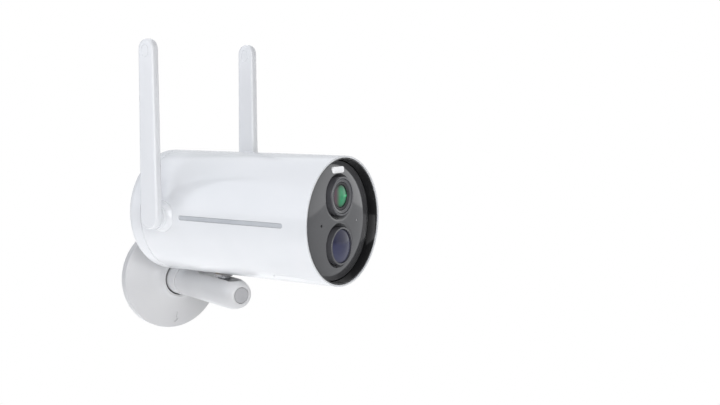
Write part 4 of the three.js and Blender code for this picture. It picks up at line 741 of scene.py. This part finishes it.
cut(housing, hinge_rod("hinge_channel", HINGE_HALF + CHANNEL_PLAY, HINGE_RADIUS + RUNNING_GAP))
insert_low, insert_high = local_box("mount_insert", HEAD)
INSERT_RADIUS = (insert_high[1] - insert_low[1]) / 2
STUD_X = (insert_low[0] + insert_high[0]) / 2
BOSS_WALL = 3
BOSS_TOP = insert_high[2] + 1.5
AT_STUD = (STUD_X, 0, 0)
boss = rod("boss", -SHELL_BORE - 0.6, BOSS_TOP, INSERT_RADIUS + BOSS_WALL, HEAD, 48, "Z", AT_STUD)
combine(housing, boss, "UNION")
bore = spun(
    "insert_bore",
    [
        (-HEAD_RADIUS - 3, 0), (-HEAD_RADIUS - 3, INSERT_RADIUS + 3.6),
        (-HEAD_RADIUS + 0.35, INSERT_RADIUS + FIT_GAP), (insert_high[2] + 0.3, INSERT_RADIUS + FIT_GAP),
        (insert_high[2] + 0.3, 0),
    ],
    HEAD, 48, "Z", AT_STUD, closed=False,
)
cut(housing, bore)
base_low, base_high = local_box("antenna_base_left", HEAD)
HINGE_X = (base_low[0] + base_high[0]) / 2
HINGE_Z = (base_low[2] + base_high[2]) / 2
BASE_HOLE_RADIUS = 4.6
holes = rod("antenna_holes", -50, 50, BASE_HOLE_RADIUS, HEAD, 48, "Y", (HINGE_X, 0, HINGE_Z))
cut(housing, holes)
finished(housing, "head", WHITE_ABS, "white_plastic", "housing_shell")

# %% [markdown]
# ## Rear cover
# A separate cap with a generous rounding closes the head, and a seam 0.25 mm wide shows where it
# meets the housing. It carries the speaker's holes, made by the ring tree round one central hole.

# %% Rear cover
rear_low, rear_high = local_box("rear_cover", HEAD)
REAR = rear_low[0]
REAR_ROUNDING = 7
COVER_FRONT = SHELL_REAR - 0.25
SPIGOT = SHELL_BORE - 0.3
rear_cover = turned(
    "rear_cap",
    [
        (REAR, 0), (REAR, HEAD_RADIUS, REAR_ROUNDING * 1.35), (COVER_FRONT, HEAD_RADIUS, 0.22),
        (COVER_FRONT, SPIGOT), (rear_high[0], SPIGOT, 0.3), (rear_high[0], SPIGOT - 1.8),
        (REAR + REAR_ROUNDING, SPIGOT - 1.8), (REAR + 2, HEAD_RADIUS - REAR_ROUNDING - 2), (REAR + 2, 0),
    ],
    HEAD, SEGMENTS, closed=False, steps=24,
)
SPEAKER_HOLES = 6
SPEAKER_CIRCLE = 5
HOLE_RADIUS = 0.8
at_rear = HEAD @ Matrix.Translation((REAR, 0, 0)) @ ALONG_X
cut(rear_cover, ring_of_bars("speaker_cutter", SPEAKER_HOLES, SPEAKER_CIRCLE, HOLE_RADIUS, 12, at_rear))
cut(rear_cover, rod("speaker_cutter", REAR - 5, REAR + 5, HOLE_RADIUS, HEAD, 24))
finished(rear_cover, "head", WHITE_ABS, "white_plastic", "rear_cover")

# %% Side inlays
for name, side in (("left", 1), ("right", -1)):
    node = f"side_strip_{name}"
    low, high = local_box(node, HEAD)
    bottom, top = sorted((low[1], high[1]), key=abs)
    top_edge = edge_levels(0, abs(top - bottom), 0.12)[6:]
    levels = [
        (bottom, 0.1), (bottom + side * 0.1, 0), *[(bottom + side * h, inset) for h, inset in top_edge],
    ]
    inlay = plate(
        f"inlay_{name}", slot_outline(low[0], high[0], (high[2] - low[2]) / 2), levels, HEAD @ ALONG_Y,
    )
    finished(inlay, "head", INLAY_ABS, "strip_grey", node)

# %% [markdown]
# ## Face of the head
# Inside the white lip sits a piano-black hood, and behind it the smoked cover with two dished
# recesses. The lens stack and the motion sensor stand in the dishes. All of them are turned parts.

# %% Hood
hood_low, hood_high = local_box("hood_liner", HEAD)
HOOD_OUTER = hood_high[1]
HOOD_INNER = HOOD_OUTER - 0.45
panel_low, panel_high = local_box("front_panel", HEAD)
PANEL_RADIUS = panel_high[1]
PANEL_EDGE = -5.2
hood = turned(
    "hood",
    [
        (hood_low[0], PANEL_RADIUS + FIT_GAP), (hood_low[0], HOOD_OUTER), (hood_high[0], HOOD_OUTER, 0.08),
        (hood_high[0], HOOD_INNER, 0.12), (PANEL_EDGE - 0.2, PANEL_RADIUS + FIT_GAP, 0.1),
    ],
    HEAD, SEGMENTS,
)
finished(hood, "head", PIANO_BLACK, "black_gloss", "hood_liner")

# %% Smoked front cover
PANEL_CENTRE = panel_high[0]
DOME_STEPS = 24
COVER_SHARP = math.radians(24)
# The cover stays nearly flat and falls away only near its edge.
DOME_POWER = 5
dome = []
for k in range(DOME_STEPS + 1):
    out = 1 - k / DOME_STEPS
    dome.append((PANEL_CENTRE + (PANEL_EDGE - PANEL_CENTRE) * out**DOME_POWER, (PANEL_RADIUS - 0.1) * out))
front_cover = spun(
    "front_cover",
    [(panel_low[0], 0), (panel_low[0], PANEL_RADIUS), (PANEL_EDGE - 0.1, PANEL_RADIUS), *dome], HEAD, 192,
    closed=False,
)
bezel_low, bezel_high = local_box("lens_bezel", HEAD)
ring_low, ring_high = local_box("pir_ring", HEAD)
LENS_Z = (bezel_low[2] + bezel_high[2]) / 2
PIR_Z = (ring_low[2] + ring_high[2]) / 2
BEZEL_RADIUS = (bezel_high[2] - bezel_low[2]) / 2
RING_RADIUS = (ring_high[2] - ring_low[2]) / 2
FACE = PANEL_CENTRE - 0.15
LENS_DISH_RADIUS = 12.1
PIR_DISH_RADIUS = 11.9


def dish_cutter(height, rim, hole):
    """Cutter of a dish in the front cover, with a hole through its floor."""
    return turned(
        "dish_cutter",
        [
            (panel_low[0] - 2, 0), (panel_low[0] - 2, hole), (FACE - 2, hole, 0.1),
            (FACE - 1.3, hole + (rim - hole) * 0.3, 1.0), (FACE + 0.05, rim, 0.7), (FACE + 0.25, rim + 1.5),
            (FACE + 2, rim + 2), (FACE + 2, 0),
        ],
        HEAD, 128, centre=(0, 0, height), closed=False,
    )


cut(front_cover, dish_cutter(LENS_Z, LENS_DISH_RADIUS, BEZEL_RADIUS + FIT_GAP))
cut(front_cover, dish_cutter(PIR_Z, PIR_DISH_RADIUS, RING_RADIUS + FIT_GAP))
window_low, window_high = local_box("spotlight_window", HEAD)
WINDOW_Z = (window_low[2] + window_high[2]) / 2
WINDOW_HALF = (window_high[1] - window_low[1]) / 2
WINDOW_RISE = (window_high[2] - window_low[2]) / 2
at_window = HEAD @ Matrix.Translation((0, 0, WINDOW_Z)) @ ALONG_X
window_hole = plate(
    "window_cutter", panel_outline(-WINDOW_HALF - 0.12, WINDOW_HALF + 0.12, WINDOW_RISE + 0.12, 1.3, 1.3),
    [(panel_low[0] - 2, 0), (window_high[0] + 3, 0)], at_window,
)
cut(front_cover, window_hole)
MIC_Y, MIC_Z = -15.9, -1.0
MIC_RADIUS = 0.75
pipe_low, pipe_high = local_box("light_pipe", HEAD)
PIPE_Y = (pipe_low[1] + pipe_high[1]) / 2
PIPE_RADIUS = (pipe_high[1] - pipe_low[1]) / 2
for y, radius in ((MIC_Y, MIC_RADIUS), (PIPE_Y, PIPE_RADIUS + RUNNING_GAP)):
    cut(front_cover, rod("small_hole", panel_low[0] - 1, 1, radius, HEAD, 32, centre=(0, y, MIC_Z)))
finished(front_cover, "head", SMOKED_ACRYLIC, "panel_grey", "front_panel", angle=COVER_SHARP)
window = plate(
    "spotlight_lens", panel_outline(-WINDOW_HALF, WINDOW_HALF, WINDOW_RISE, 1.2, 1.2),
    edge_levels(window_low[0], window_high[0], 0.18), at_window,
)
finished(window, "head", OPAL, "diffuser", "spotlight_window")

# %% Lens stack
BEZEL_REAR = bezel_low[0]
shade_low, shade_high = local_box("lens_shade", HEAD)
SHADE_RADIUS = (shade_high[2] - shade_low[2]) / 2


def trim_ring(name, rear, front, outer, inner, height):
    """A ring with a rounded outer edge, round a hole in the front cover."""
    path = [(rear, inner), (rear, outer), (front, outer, 0.45), (front, inner, 0.2)]
    return turned(name, path, HEAD, 160, centre=(0, 0, height))


bezel = trim_ring("lens_trim_ring", BEZEL_REAR, bezel_high[0], BEZEL_RADIUS, SHADE_RADIUS + FIT_GAP, LENS_Z)
finished(bezel, "head", SATIN_TRIM, "dark_trim", "lens_bezel")
barrel_low, barrel_high = local_box("lens_barrel", HEAD)
BARREL_RADIUS = (barrel_high[2] - barrel_low[2]) / 2
BARREL_FRONT = barrel_high[0]
BAFFLES = 4
SLOPE_DEPTH = 0.55
SLOPE_FRONT = shade_high[0] - 0.05
SHADE_MOUTH = SHADE_RADIUS - FIT_GAP
SLOPE_DROP = SHADE_RADIUS - BARREL_RADIUS - 2 * FIT_GAP
slope = [(SLOPE_FRONT, SHADE_MOUTH)]
for k in range(BAFFLES):
    t0, t1 = (k + 0.55) / BAFFLES, (k + 1) / BAFFLES
    slope.append((SLOPE_FRONT - SLOPE_DEPTH * t0, SHADE_MOUTH - SLOPE_DROP * (k / BAFFLES) - 0.03))
    slope.append((SLOPE_FRONT - SLOPE_DEPTH * t1, SHADE_MOUTH - SLOPE_DROP * t1))
shade = turned(
    "lens_shade_cone",
    [
        (BEZEL_REAR, BARREL_RADIUS + FIT_GAP), (BEZEL_REAR, SHADE_RADIUS),
        (shade_high[0], SHADE_RADIUS, 0.1), *slope, (slope[-1][0] - 0.1, BARREL_RADIUS + FIT_GAP),
    ],
    HEAD, 160, centre=(0, 0, LENS_Z),
)
finished(shade, "head", SATIN_TRIM, "dark_trim", "lens_shade")
glass_low, glass_high = local_box("front_lens", HEAD)
GLASS_RADIUS = (glass_high[2] - glass_low[2]) / 2
barrel = turned(
    "lens_tube",
    [
        (barrel_low[0], 4.5), (barrel_low[0], BARREL_RADIUS), (BARREL_FRONT, BARREL_RADIUS, 0.15),
        (BARREL_FRONT, GLASS_RADIUS + 0.85, 0.1), (BARREL_FRONT - 0.15, GLASS_RADIUS + 0.65, 0.05),
        (BARREL_FRONT - 0.2, GLASS_RADIUS + 0.35, 0.05), (BARREL_FRONT - 0.35, GLASS_RADIUS + 0.22, 0.05),
        (glass_low[0] - 0.3, GLASS_RADIUS + 0.22), (glass_low[0] - 0.3, 4.5),
    ],
    HEAD, 160, centre=(0, 0, LENS_Z),
)
finished(barrel, "head", MATT_BLACK, "black_plastic", "lens_barrel")


def crown(edge, apex, radius, steps):
    """Points of a shallow dome from its rim to its top."""
    return [
        (edge + (apex - edge) * (1 - (1 - k / steps) ** 2), radius * (1 - k / steps))
        for k in range(steps + 1)
    ]


GLASS_EDGE = glass_high[0] - 1
glass = spun(
    "front_glass",
    [
        (glass_low[0], 0), (glass_low[0], GLASS_RADIUS), (GLASS_EDGE - 0.1, GLASS_RADIUS),
        *crown(GLASS_EDGE, glass_high[0], GLASS_RADIUS - 0.08, 16),
    ],
    HEAD, 128, centre=(0, 0, LENS_Z), closed=False,
)
finished(glass, "head", COATED_GLASS, "lens_glass", "front_lens")

# %% Motion sensor
eye_low, eye_high = local_box("pir_lens", HEAD)
EYE_RADIUS = (eye_high[2] - eye_low[2]) / 2
eye_hole = EYE_RADIUS + 0.2
sensor_ring = trim_ring("sensor_trim_ring", ring_low[0], ring_high[0], RING_RADIUS, eye_hole, PIR_Z)
finished(sensor_ring, "head", SATIN_TRIM, "dark_trim", "pir_ring")
EYE_WALL = 0.8
EYE_SAG = 1.6
eye = spun(
    "sensor_window",
    [
        *reversed(crown(eye_high[0] - EYE_SAG, eye_high[0], EYE_RADIUS - 0.06, 20)),
        (eye_high[0] - EYE_SAG - 0.08, EYE_RADIUS), (eye_low[0], EYE_RADIUS),
        (eye_low[0], EYE_RADIUS - EYE_WALL),
        *crown(eye_high[0] - EYE_SAG - EYE_WALL, eye_high[0] - EYE_WALL, EYE_RADIUS - EYE_WALL, 12),
    ],
    HEAD, 128, centre=(0, 0, PIR_Z), closed=False,
)
finished(eye, "head", VIOLET_WINDOW, "pir_lens", "pir_lens")

# %% [markdown]
# ## Port hatch
# A flap under the head, curved with the shell, covers the charging port. It is the outline of the
# flap cut out of a tube, hinged on a short barrel at its rear.

# %% Hatch
HATCH_REAR_GAP = 0.35
HINGE_RELIEF = 0.3
hatch = plate(
    "hatch_flap", panel_outline(HATCH_REAR + HATCH_REAR_GAP, hatch_high[0], hatch_high[1], 3.25, 5.75, 14),
    [(-HEAD_RADIUS - 5, 0), (-10, 0)], HEAD,
)
skin = turned(
    "hatch_skin",
    [
        (hatch_low[0] - 5, HEAD_RADIUS - 1), (hatch_low[0] - 5, HEAD_RADIUS),
        (hatch_high[0] + 5, HEAD_RADIUS), (hatch_high[0] + 5, HEAD_RADIUS - 1),
    ],
    HEAD, SEGMENTS,
)
combine(hatch, skin, "INTERSECT")


def relief_outline(inset):
    """A triangle whose long side slopes past the hinge, so that the flap's rear edge clears the shell."""
    reach = 8
    start = hinge_place.x + HINGE_RELIEF
    return [
        (start + reach, hinge_place.z - reach), (start - reach, hinge_place.z + reach),
        (start - 2 * reach, hinge_place.z - 2 * reach),
    ]


relief = plate("hinge_relief", relief_outline, [(-HATCH_HALF - 5, 0), (HATCH_HALF + 5, 0)], HEAD @ ALONG_Y)
cut(hatch, relief)
combine(hatch, hinge_rod("hinge_barrel", HINGE_HALF, HINGE_RADIUS), "UNION")
finished(hatch, "hatch", WHITE_ABS, "white_plastic", "port_cover")

# %% [markdown]
# ## Antennas
# Each antenna is a flat paddle, wider at its foot, moulded in two halves whose parting line runs
# round the edge. A small upright oval line is engraved near the top on both faces. Its foot turns on a
# spindle in a flared base on the side of the head.

# %% Antennas
foot_low, foot_high = local_box("antenna_outer_left", HEAD)
FOOT_RADIUS = (foot_high[0] - foot_low[0]) / 2
PADDLE_TOP = foot_high[2] - HINGE_Z
TIP_RADIUS = 5.2
EDGE_RADIUS = 1.5
PARTING = 0.09
inner_low = local_box("antenna_inner_left", HEAD)[0]
OUTER_FACE = foot_high[1]
INNER_FACE = foot_low[1] - PARTING - (foot_high[1] - foot_low[1]) + 0.01
TIP_Z = PADDLE_TOP - TIP_RADIUS


def paddle_outline(steps=36):
    """Two circles joined by straight sides, in the plane of the paddle."""
    lean = math.asin((FOOT_RADIUS - TIP_RADIUS) / TIP_Z)
    rounds = [
        (0, FOOT_RADIUS, math.pi - lean, math.pi + 2 * lean), (TIP_Z, TIP_RADIUS, lean, math.pi - 2 * lean),
    ]
    return lambda inset: [
        p
        for z, r, start, sweep in rounds for p in arc(0, z, r - inset, start, sweep, steps)
    ]


def upright(outline):
    """Turns an outline that lies along the first axis so that it stands along the second."""
    return lambda inset: [(-b, a) for a, b in outline(inset)]


MARK_WIDTH = 4.5
MARK_HEIGHT = 6.8
MARK_LINE = 0.45
MARK_DEPTH = 0.25
MARK_TOP = TIP_Z + 2.4


def engraved_ring(face, out, place):
    """Cutter of a thin upright oval line."""
    oval = upright(slot_outline(MARK_TOP - MARK_HEIGHT, MARK_TOP, MARK_WIDTH / 2))
    outer = plate("mark", oval, [(face - out * MARK_DEPTH, 0), (face + out, 0)], place)
    inner = plate("mark_core", oval, [(face - out * 2, MARK_LINE), (face + out * 2, MARK_LINE)], place)
    return cut(outer, inner)


for name, side in (("left", 1), ("right", -1)):
    at_hinge = HEAD @ Matrix.Scale(side, 4, (0, 1, 0)) @ Matrix.Translation((HINGE_X, 0, HINGE_Z))
    middle = (OUTER_FACE + INNER_FACE) / 2
    rim = edge_levels(INNER_FACE, OUTER_FACE, EDGE_RADIUS, 8)
    lower = [level for level in rim if level[0] < middle]
    upper = [level for level in rim if level[0] > middle]
    parting = [(middle + PARTING * h, inset) for h, inset in ((-1, 0), (-0.6, 0.18), (0.6, 0.18), (1, 0))]
    paddle = plate(f"antenna_{name}", paddle_outline(), lower + parting + upper, at_hinge @ ALONG_Y)
    for face, out in ((OUTER_FACE, 1), (INNER_FACE, -1)):
        cut(paddle, engraved_ring(face, out, at_hinge @ ALONG_Y))
    spindle = turned(
        "spindle",
        [
            (inner_low[1], 0), (inner_low[1], 3, 0.3), (base_high[1] + 0.3, 3),
            (base_high[1] + 0.3, 5.4, 0.25), (INNER_FACE + 0.8, 5.4), (INNER_FACE + 0.8, 0),
        ],
        at_hinge, 96, "Y", closed=False,
    )
    combine(paddle, spindle, "UNION")
    finished(
        paddle, f"antenna_{name}", WHITE_ABS, "white_plastic", f"antenna_outer_{name}",
        f"antenna_inner_{name}",
    )
    base = spun(
        f"antenna_base_{name}_flare",
        [
            (HEAD_RADIUS - 4, 3.08), (HEAD_RADIUS - 4, 4.3), (HEAD_RADIUS - 1, 4.3), (HEAD_RADIUS - 1, 8.3),
            *flowing(
                [
                    (HEAD_RADIUS - 0.2, 8.3), (HEAD_RADIUS + 0.6, 7.75), (HEAD_RADIUS + 1.4, 6.95),
                    (HEAD_RADIUS + 2.4, 6.45), (base_high[1] - 0.4, 6.4),
                ],
                6,
            ),
            (base_high[1] - 0.12, 6.3), (base_high[1], 6.05), (base_high[1], 3.08),
        ],
        at_hinge, 128, "Y",
    )
    saddle = rod("saddle", REAR - 5, 5, HEAD_RADIUS + 0.05, HEAD, SEGMENTS)
    cut(base, saddle)
    finished(base, "head", WHITE_ABS, "white_plastic", f"antenna_base_{name}")

# %% [markdown]
# ## Arm and ball stud
# The arm is a short tube with an elliptical nose. A slot along its top lets the stud tilt and gives
# access to the lock nut, and a grey plug closes the clamp screw's bore in the nose.

# %% Arm
nut_low, nut_high = local_box("lock_nut", ARM)
ARM_FRONT = arm_high[0] - stud_middle[0]
ARM_REAR = arm_low[0] - stud_middle[0]
ARM_RADIUS = (arm_high[1] - arm_low[1]) / 2
plug_low, plug_high = local_box("arm_end_plug", ARM)
PLUG_RADIUS = (plug_high[1] - plug_low[1]) / 2
NOSE_LENGTH = 9.9
NOSE_RADIUS = 4.7
BORE = PLUG_RADIUS + 0.2
NOSE_STEPS = 24
NOSE_START = ARM_FRONT - NOSE_LENGTH
SEAT_RADIUS = 4.4
SEAT_STEPS = 8
rear_end = [(-10, 6), (ARM_REAR, 6, 0.3), (ARM_REAR, ARM_RADIUS, 0.75), (NOSE_START, ARM_RADIUS)]
nose = []
for k in range(NOSE_STEPS + 1):
    angle = k / NOSE_STEPS * math.pi / 2
    radius = NOSE_RADIUS + (ARM_RADIUS - NOSE_RADIUS) * math.cos(angle)
    nose.append((NOSE_START + NOSE_LENGTH * math.sin(angle), radius))
seat = []
for k in range(1, SEAT_STEPS):
    angle = k / SEAT_STEPS * math.pi / 2
    seat.append((-SEAT_RADIUS * math.sin(angle), SEAT_RADIUS * math.cos(angle)))
mouth = [(ARM_FRONT, NOSE_RADIUS - 0.1), (ARM_FRONT - 0.2, BORE), (1.5, BORE)]
arm_path = [(-10, 0), (-10, 6), *rounded(rear_end)[1:-1], *nose, *mouth, *seat, (-SEAT_RADIUS, 0)]
arm = spun("arm", arm_path, ARM, 192, closed=False)
RECESS_FLOOR = nut_low[2] - 1.5
recess_cutter = plate(
    "arm_recess", slot_outline(-24, 15.6, 4.2),
    [(RECESS_FLOOR, 0.25), (RECESS_FLOOR + 0.25, 0), (RECESS_FLOOR + 0.8, 0), (ARM_RADIUS + 3, -1.2)], ARM,
)
cut(arm, recess_cutter)
for low, high, half in ((1.8, 14.8, 3.6), (-3.3, 10.8, 2.9)):
    opening = plate(
        "arm_opening", slot_outline(low, high, half),
        [(0, 0), (RECESS_FLOOR - 0.25, 0), (RECESS_FLOOR + 0.25, -0.3), (20, -0.3)], ARM,
    )
    cut(arm, opening)
pin = rod("pin_hole", RECESS_FLOOR - 1.2, RECESS_FLOOR + 1, 0.6, ARM, 32, "Z", (-9, -1.3, 0))
cut(arm, pin)
finished(arm, "arm", SHADED_MOUNT_ABS, "white_plastic", "arm_tube")

neck_low, neck_high = local_box("arm_neck", ARM)
NECK_RADIUS = 8.9
NECK_FRONT = ARM_REAR - 0.3
neck = turned(
    "neck",
    [
        (neck_low[0], 4), (neck_low[0], neck_high[1], 0.3), (neck_low[0] + 2.1, neck_high[1], 0.3),
        (neck_low[0] + 2.1, NECK_RADIUS), (NECK_FRONT, NECK_RADIUS, 0.7), (NECK_FRONT, 5.7),
        (neck_high[0], 5.7, 0.3), (neck_high[0], 4),
    ],
    ARM, 192,
)
finished(neck, "arm", SHADED_MOUNT_ABS, "white_plastic", "arm_neck")
plug = turned(
    "arm_plug",
    [
        (plug_low[0], 0), (plug_low[0], PLUG_RADIUS, 0.2), (plug_high[0] - 0.05, PLUG_RADIUS, 0.3),
        (plug_high[0], 0),
    ],
    ARM, 96, closed=False,
)
finished(plug, "arm", PLUG_TPE, "plug_grey", "arm_end_plug")

# %% Lock nut
NUT_RADIUS = (nut_high[1] - nut_low[1]) / 2
nut = turned(
    "thumb_nut",
    [
        (nut_low[2], 3.18, 0.15), (nut_low[2], NUT_RADIUS, 0.25), (nut_high[2], NUT_RADIUS, 0.25),
        (nut_high[2], 3.18, 0.15),
    ],
    ARM, 96, "Z",
)
NOTCHES = 6
notches = ring_of_bars(
    "notches", NOTCHES, NUT_RADIUS + 0.3, 0.95, 8,
    ARM @ Matrix.Translation((0, 0, nut_low[2])) @ Matrix.Rotation(math.pi / NOTCHES, 4, "Z"),
)
cut(nut, notches)
finished(nut, "nut", PLUG_TPE, "plug_grey", "lock_nut")

# %% [markdown]
# ## Wall plate
# A thin domed cover rises like a trumpet from its short skirt to the collar that holds the arm. An
# arrow pointing down is engraved low on its face, so that the fitter mounts it the right way up.

# %% Wall plate
plate_low, plate_high = local_box("wall_plate", ARM)
WALL = plate_low[0]
PLATE_RADIUS = plate_high[1]
SKIRT_FRONT = WALL + 4.9
COLLAR_FRONT = plate_high[0]
COLLAR_RADIUS = 10.9
GROOVE_RADIUS = NECK_RADIUS + 0.8
COLLAR_GROOVE_FLOOR = COLLAR_FRONT - 1.3
SOCKET_FLOOR = neck_low[0] - 0.3
SOCKET_TOP = neck_low[0] + 2.4
RISE = COLLAR_FRONT - SKIRT_FRONT
SPREAD = PLATE_RADIUS - COLLAR_RADIUS
# Each point of the trumpet curve: share of the spread outwards, and share of the rise.
TRUMPET = (
    (0.965, 0.045), (0.8, 0.17), (0.6, 0.31), (0.45, 0.42), (0.24, 0.58), (0.09, 0.76), (0.015, 0.93),
)
face_run = flowing([(SKIRT_FRONT + RISE * up, COLLAR_RADIUS + SPREAD * out) for out, up in TRUMPET], 6)
skirt_run = rounded(
    [
        (WALL, PLATE_RADIUS - 2), (WALL, PLATE_RADIUS, 0.3), (SKIRT_FRONT + 0.1, PLATE_RADIUS, 0.7),
        tuple(face_run[0]),
    ]
)
collar_run = rounded(
    [
        tuple(face_run[-1]), (COLLAR_FRONT, COLLAR_RADIUS - 0.05, 0.25),
        (COLLAR_FRONT, GROOVE_RADIUS, 0.15), (COLLAR_GROOVE_FLOOR, GROOVE_RADIUS),
        (COLLAR_GROOVE_FLOOR, NECK_RADIUS + RUNNING_GAP), (SOCKET_TOP, NECK_RADIUS + RUNNING_GAP),
        (SOCKET_TOP, neck_high[1] + 0.3), (SOCKET_FLOOR, neck_high[1] + 0.3),
    ]
)
LINING = 2
lining = [(x - LINING, max(r - 0.3, neck_high[1] + 3)) for x, r in reversed(face_run[:-8])]
wall_cover = spun(
    "wall_cover",
    [
        *skirt_run, *face_run[1:-1], *collar_run, (SOCKET_FLOOR, neck_high[1] + 2.8), *lining,
        (SKIRT_FRONT - LINING, PLATE_RADIUS - 2),
    ],
    ARM, SEGMENTS,
)
ARROW_TOP, ARROW_SHOULDER, ARROW_TIP = -21.2, -24.9, -27.4
ARROW_SHAFT, ARROW_WING = 0.75, 2.2
ARROW_DEPTH = 0.55


def arrow_outline(inset):
    """An arrow that points down the plate."""
    return [
        (-ARROW_SHAFT, ARROW_TOP), (-ARROW_SHAFT, ARROW_SHOULDER), (-ARROW_WING, ARROW_SHOULDER),
        (0, ARROW_TIP), (ARROW_WING, ARROW_SHOULDER), (ARROW_SHAFT, ARROW_SHOULDER),
        (ARROW_SHAFT, ARROW_TOP),
    ]


arrow = plate("arrow_cutter", arrow_outline, [(WALL + 3, 0), (COLLAR_FRONT, 0)], ARM @ ALONG_X)
solid_run = [(x - ARROW_DEPTH, r) for x, r in [*skirt_run[2:], *face_run[1:]]]
behind_face = spun(
    "arrow_floor", [(WALL - 2, 0), (WALL - 2, PLATE_RADIUS), *solid_run, (COLLAR_FRONT - 1, 0)], ARM,
    SEGMENTS, closed=False,
)
cut(arrow, behind_face)
cut(wall_cover, arrow)
finished(wall_cover, "wall", SHADED_MOUNT_ABS, "white_plastic", "wall_plate")

# %% [markdown]
# ## Parts whose model shape is already right
# Boards, cells, screws and the other inner parts keep the shape they have, since they show only
# when a hatch is open or a joint is turned. They take the finish of the real part.

# %% Finishes of the inner parts
INNER_FINISHES = {
    SILICONE: ("rear_seal", "front_gasket", "collar_seal", "reset_button"),
    MATT_BLACK: ("speaker", "lens_holder", "image_sensor", "clamp_cup", "power_switch"),
    SOLDER_MASK: ("sensor_board", "front_board", "main_board", "port_board"),
    FRAME_ABS: ("front_bulkhead", "battery_cradle", "port_cup", "neck_retainer", "back_plate"),
    NICKEL_STEEL: (
        "pir_sensor", "microphone", "processor_shield", "usb_connector", "card_slot", "clamp_screw",
        "ball_stud", "wall_screw_left", "wall_screw_right",
    ),
    TURNED_BRASS: ("mount_insert",), ROLLED_COPPER: ("antenna_element_left", "antenna_element_right"),
    OPAL: ("spotlight_led", "light_pipe"), SHRINK_WRAP: ("battery_cell_left", "battery_cell_right"),
}
for finish, names in INNER_FINISHES.items():
    for name in names:
        nodes[name].data.materials.clear()
        nodes[name].data.materials.append(finish)
print("inner parts with a finish", sum(len(names) for names in INNER_FINISHES.values()))

# %% [markdown]
# ## Close
# The box of the finished scene is measured, and its difference in size from the model's box is printed.

# %% Sizes and finish
low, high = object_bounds()
print("grown by", [round((b - a) / MM, 2) for a, b in zip(high - low, cad_high - cad_low)], "mm")
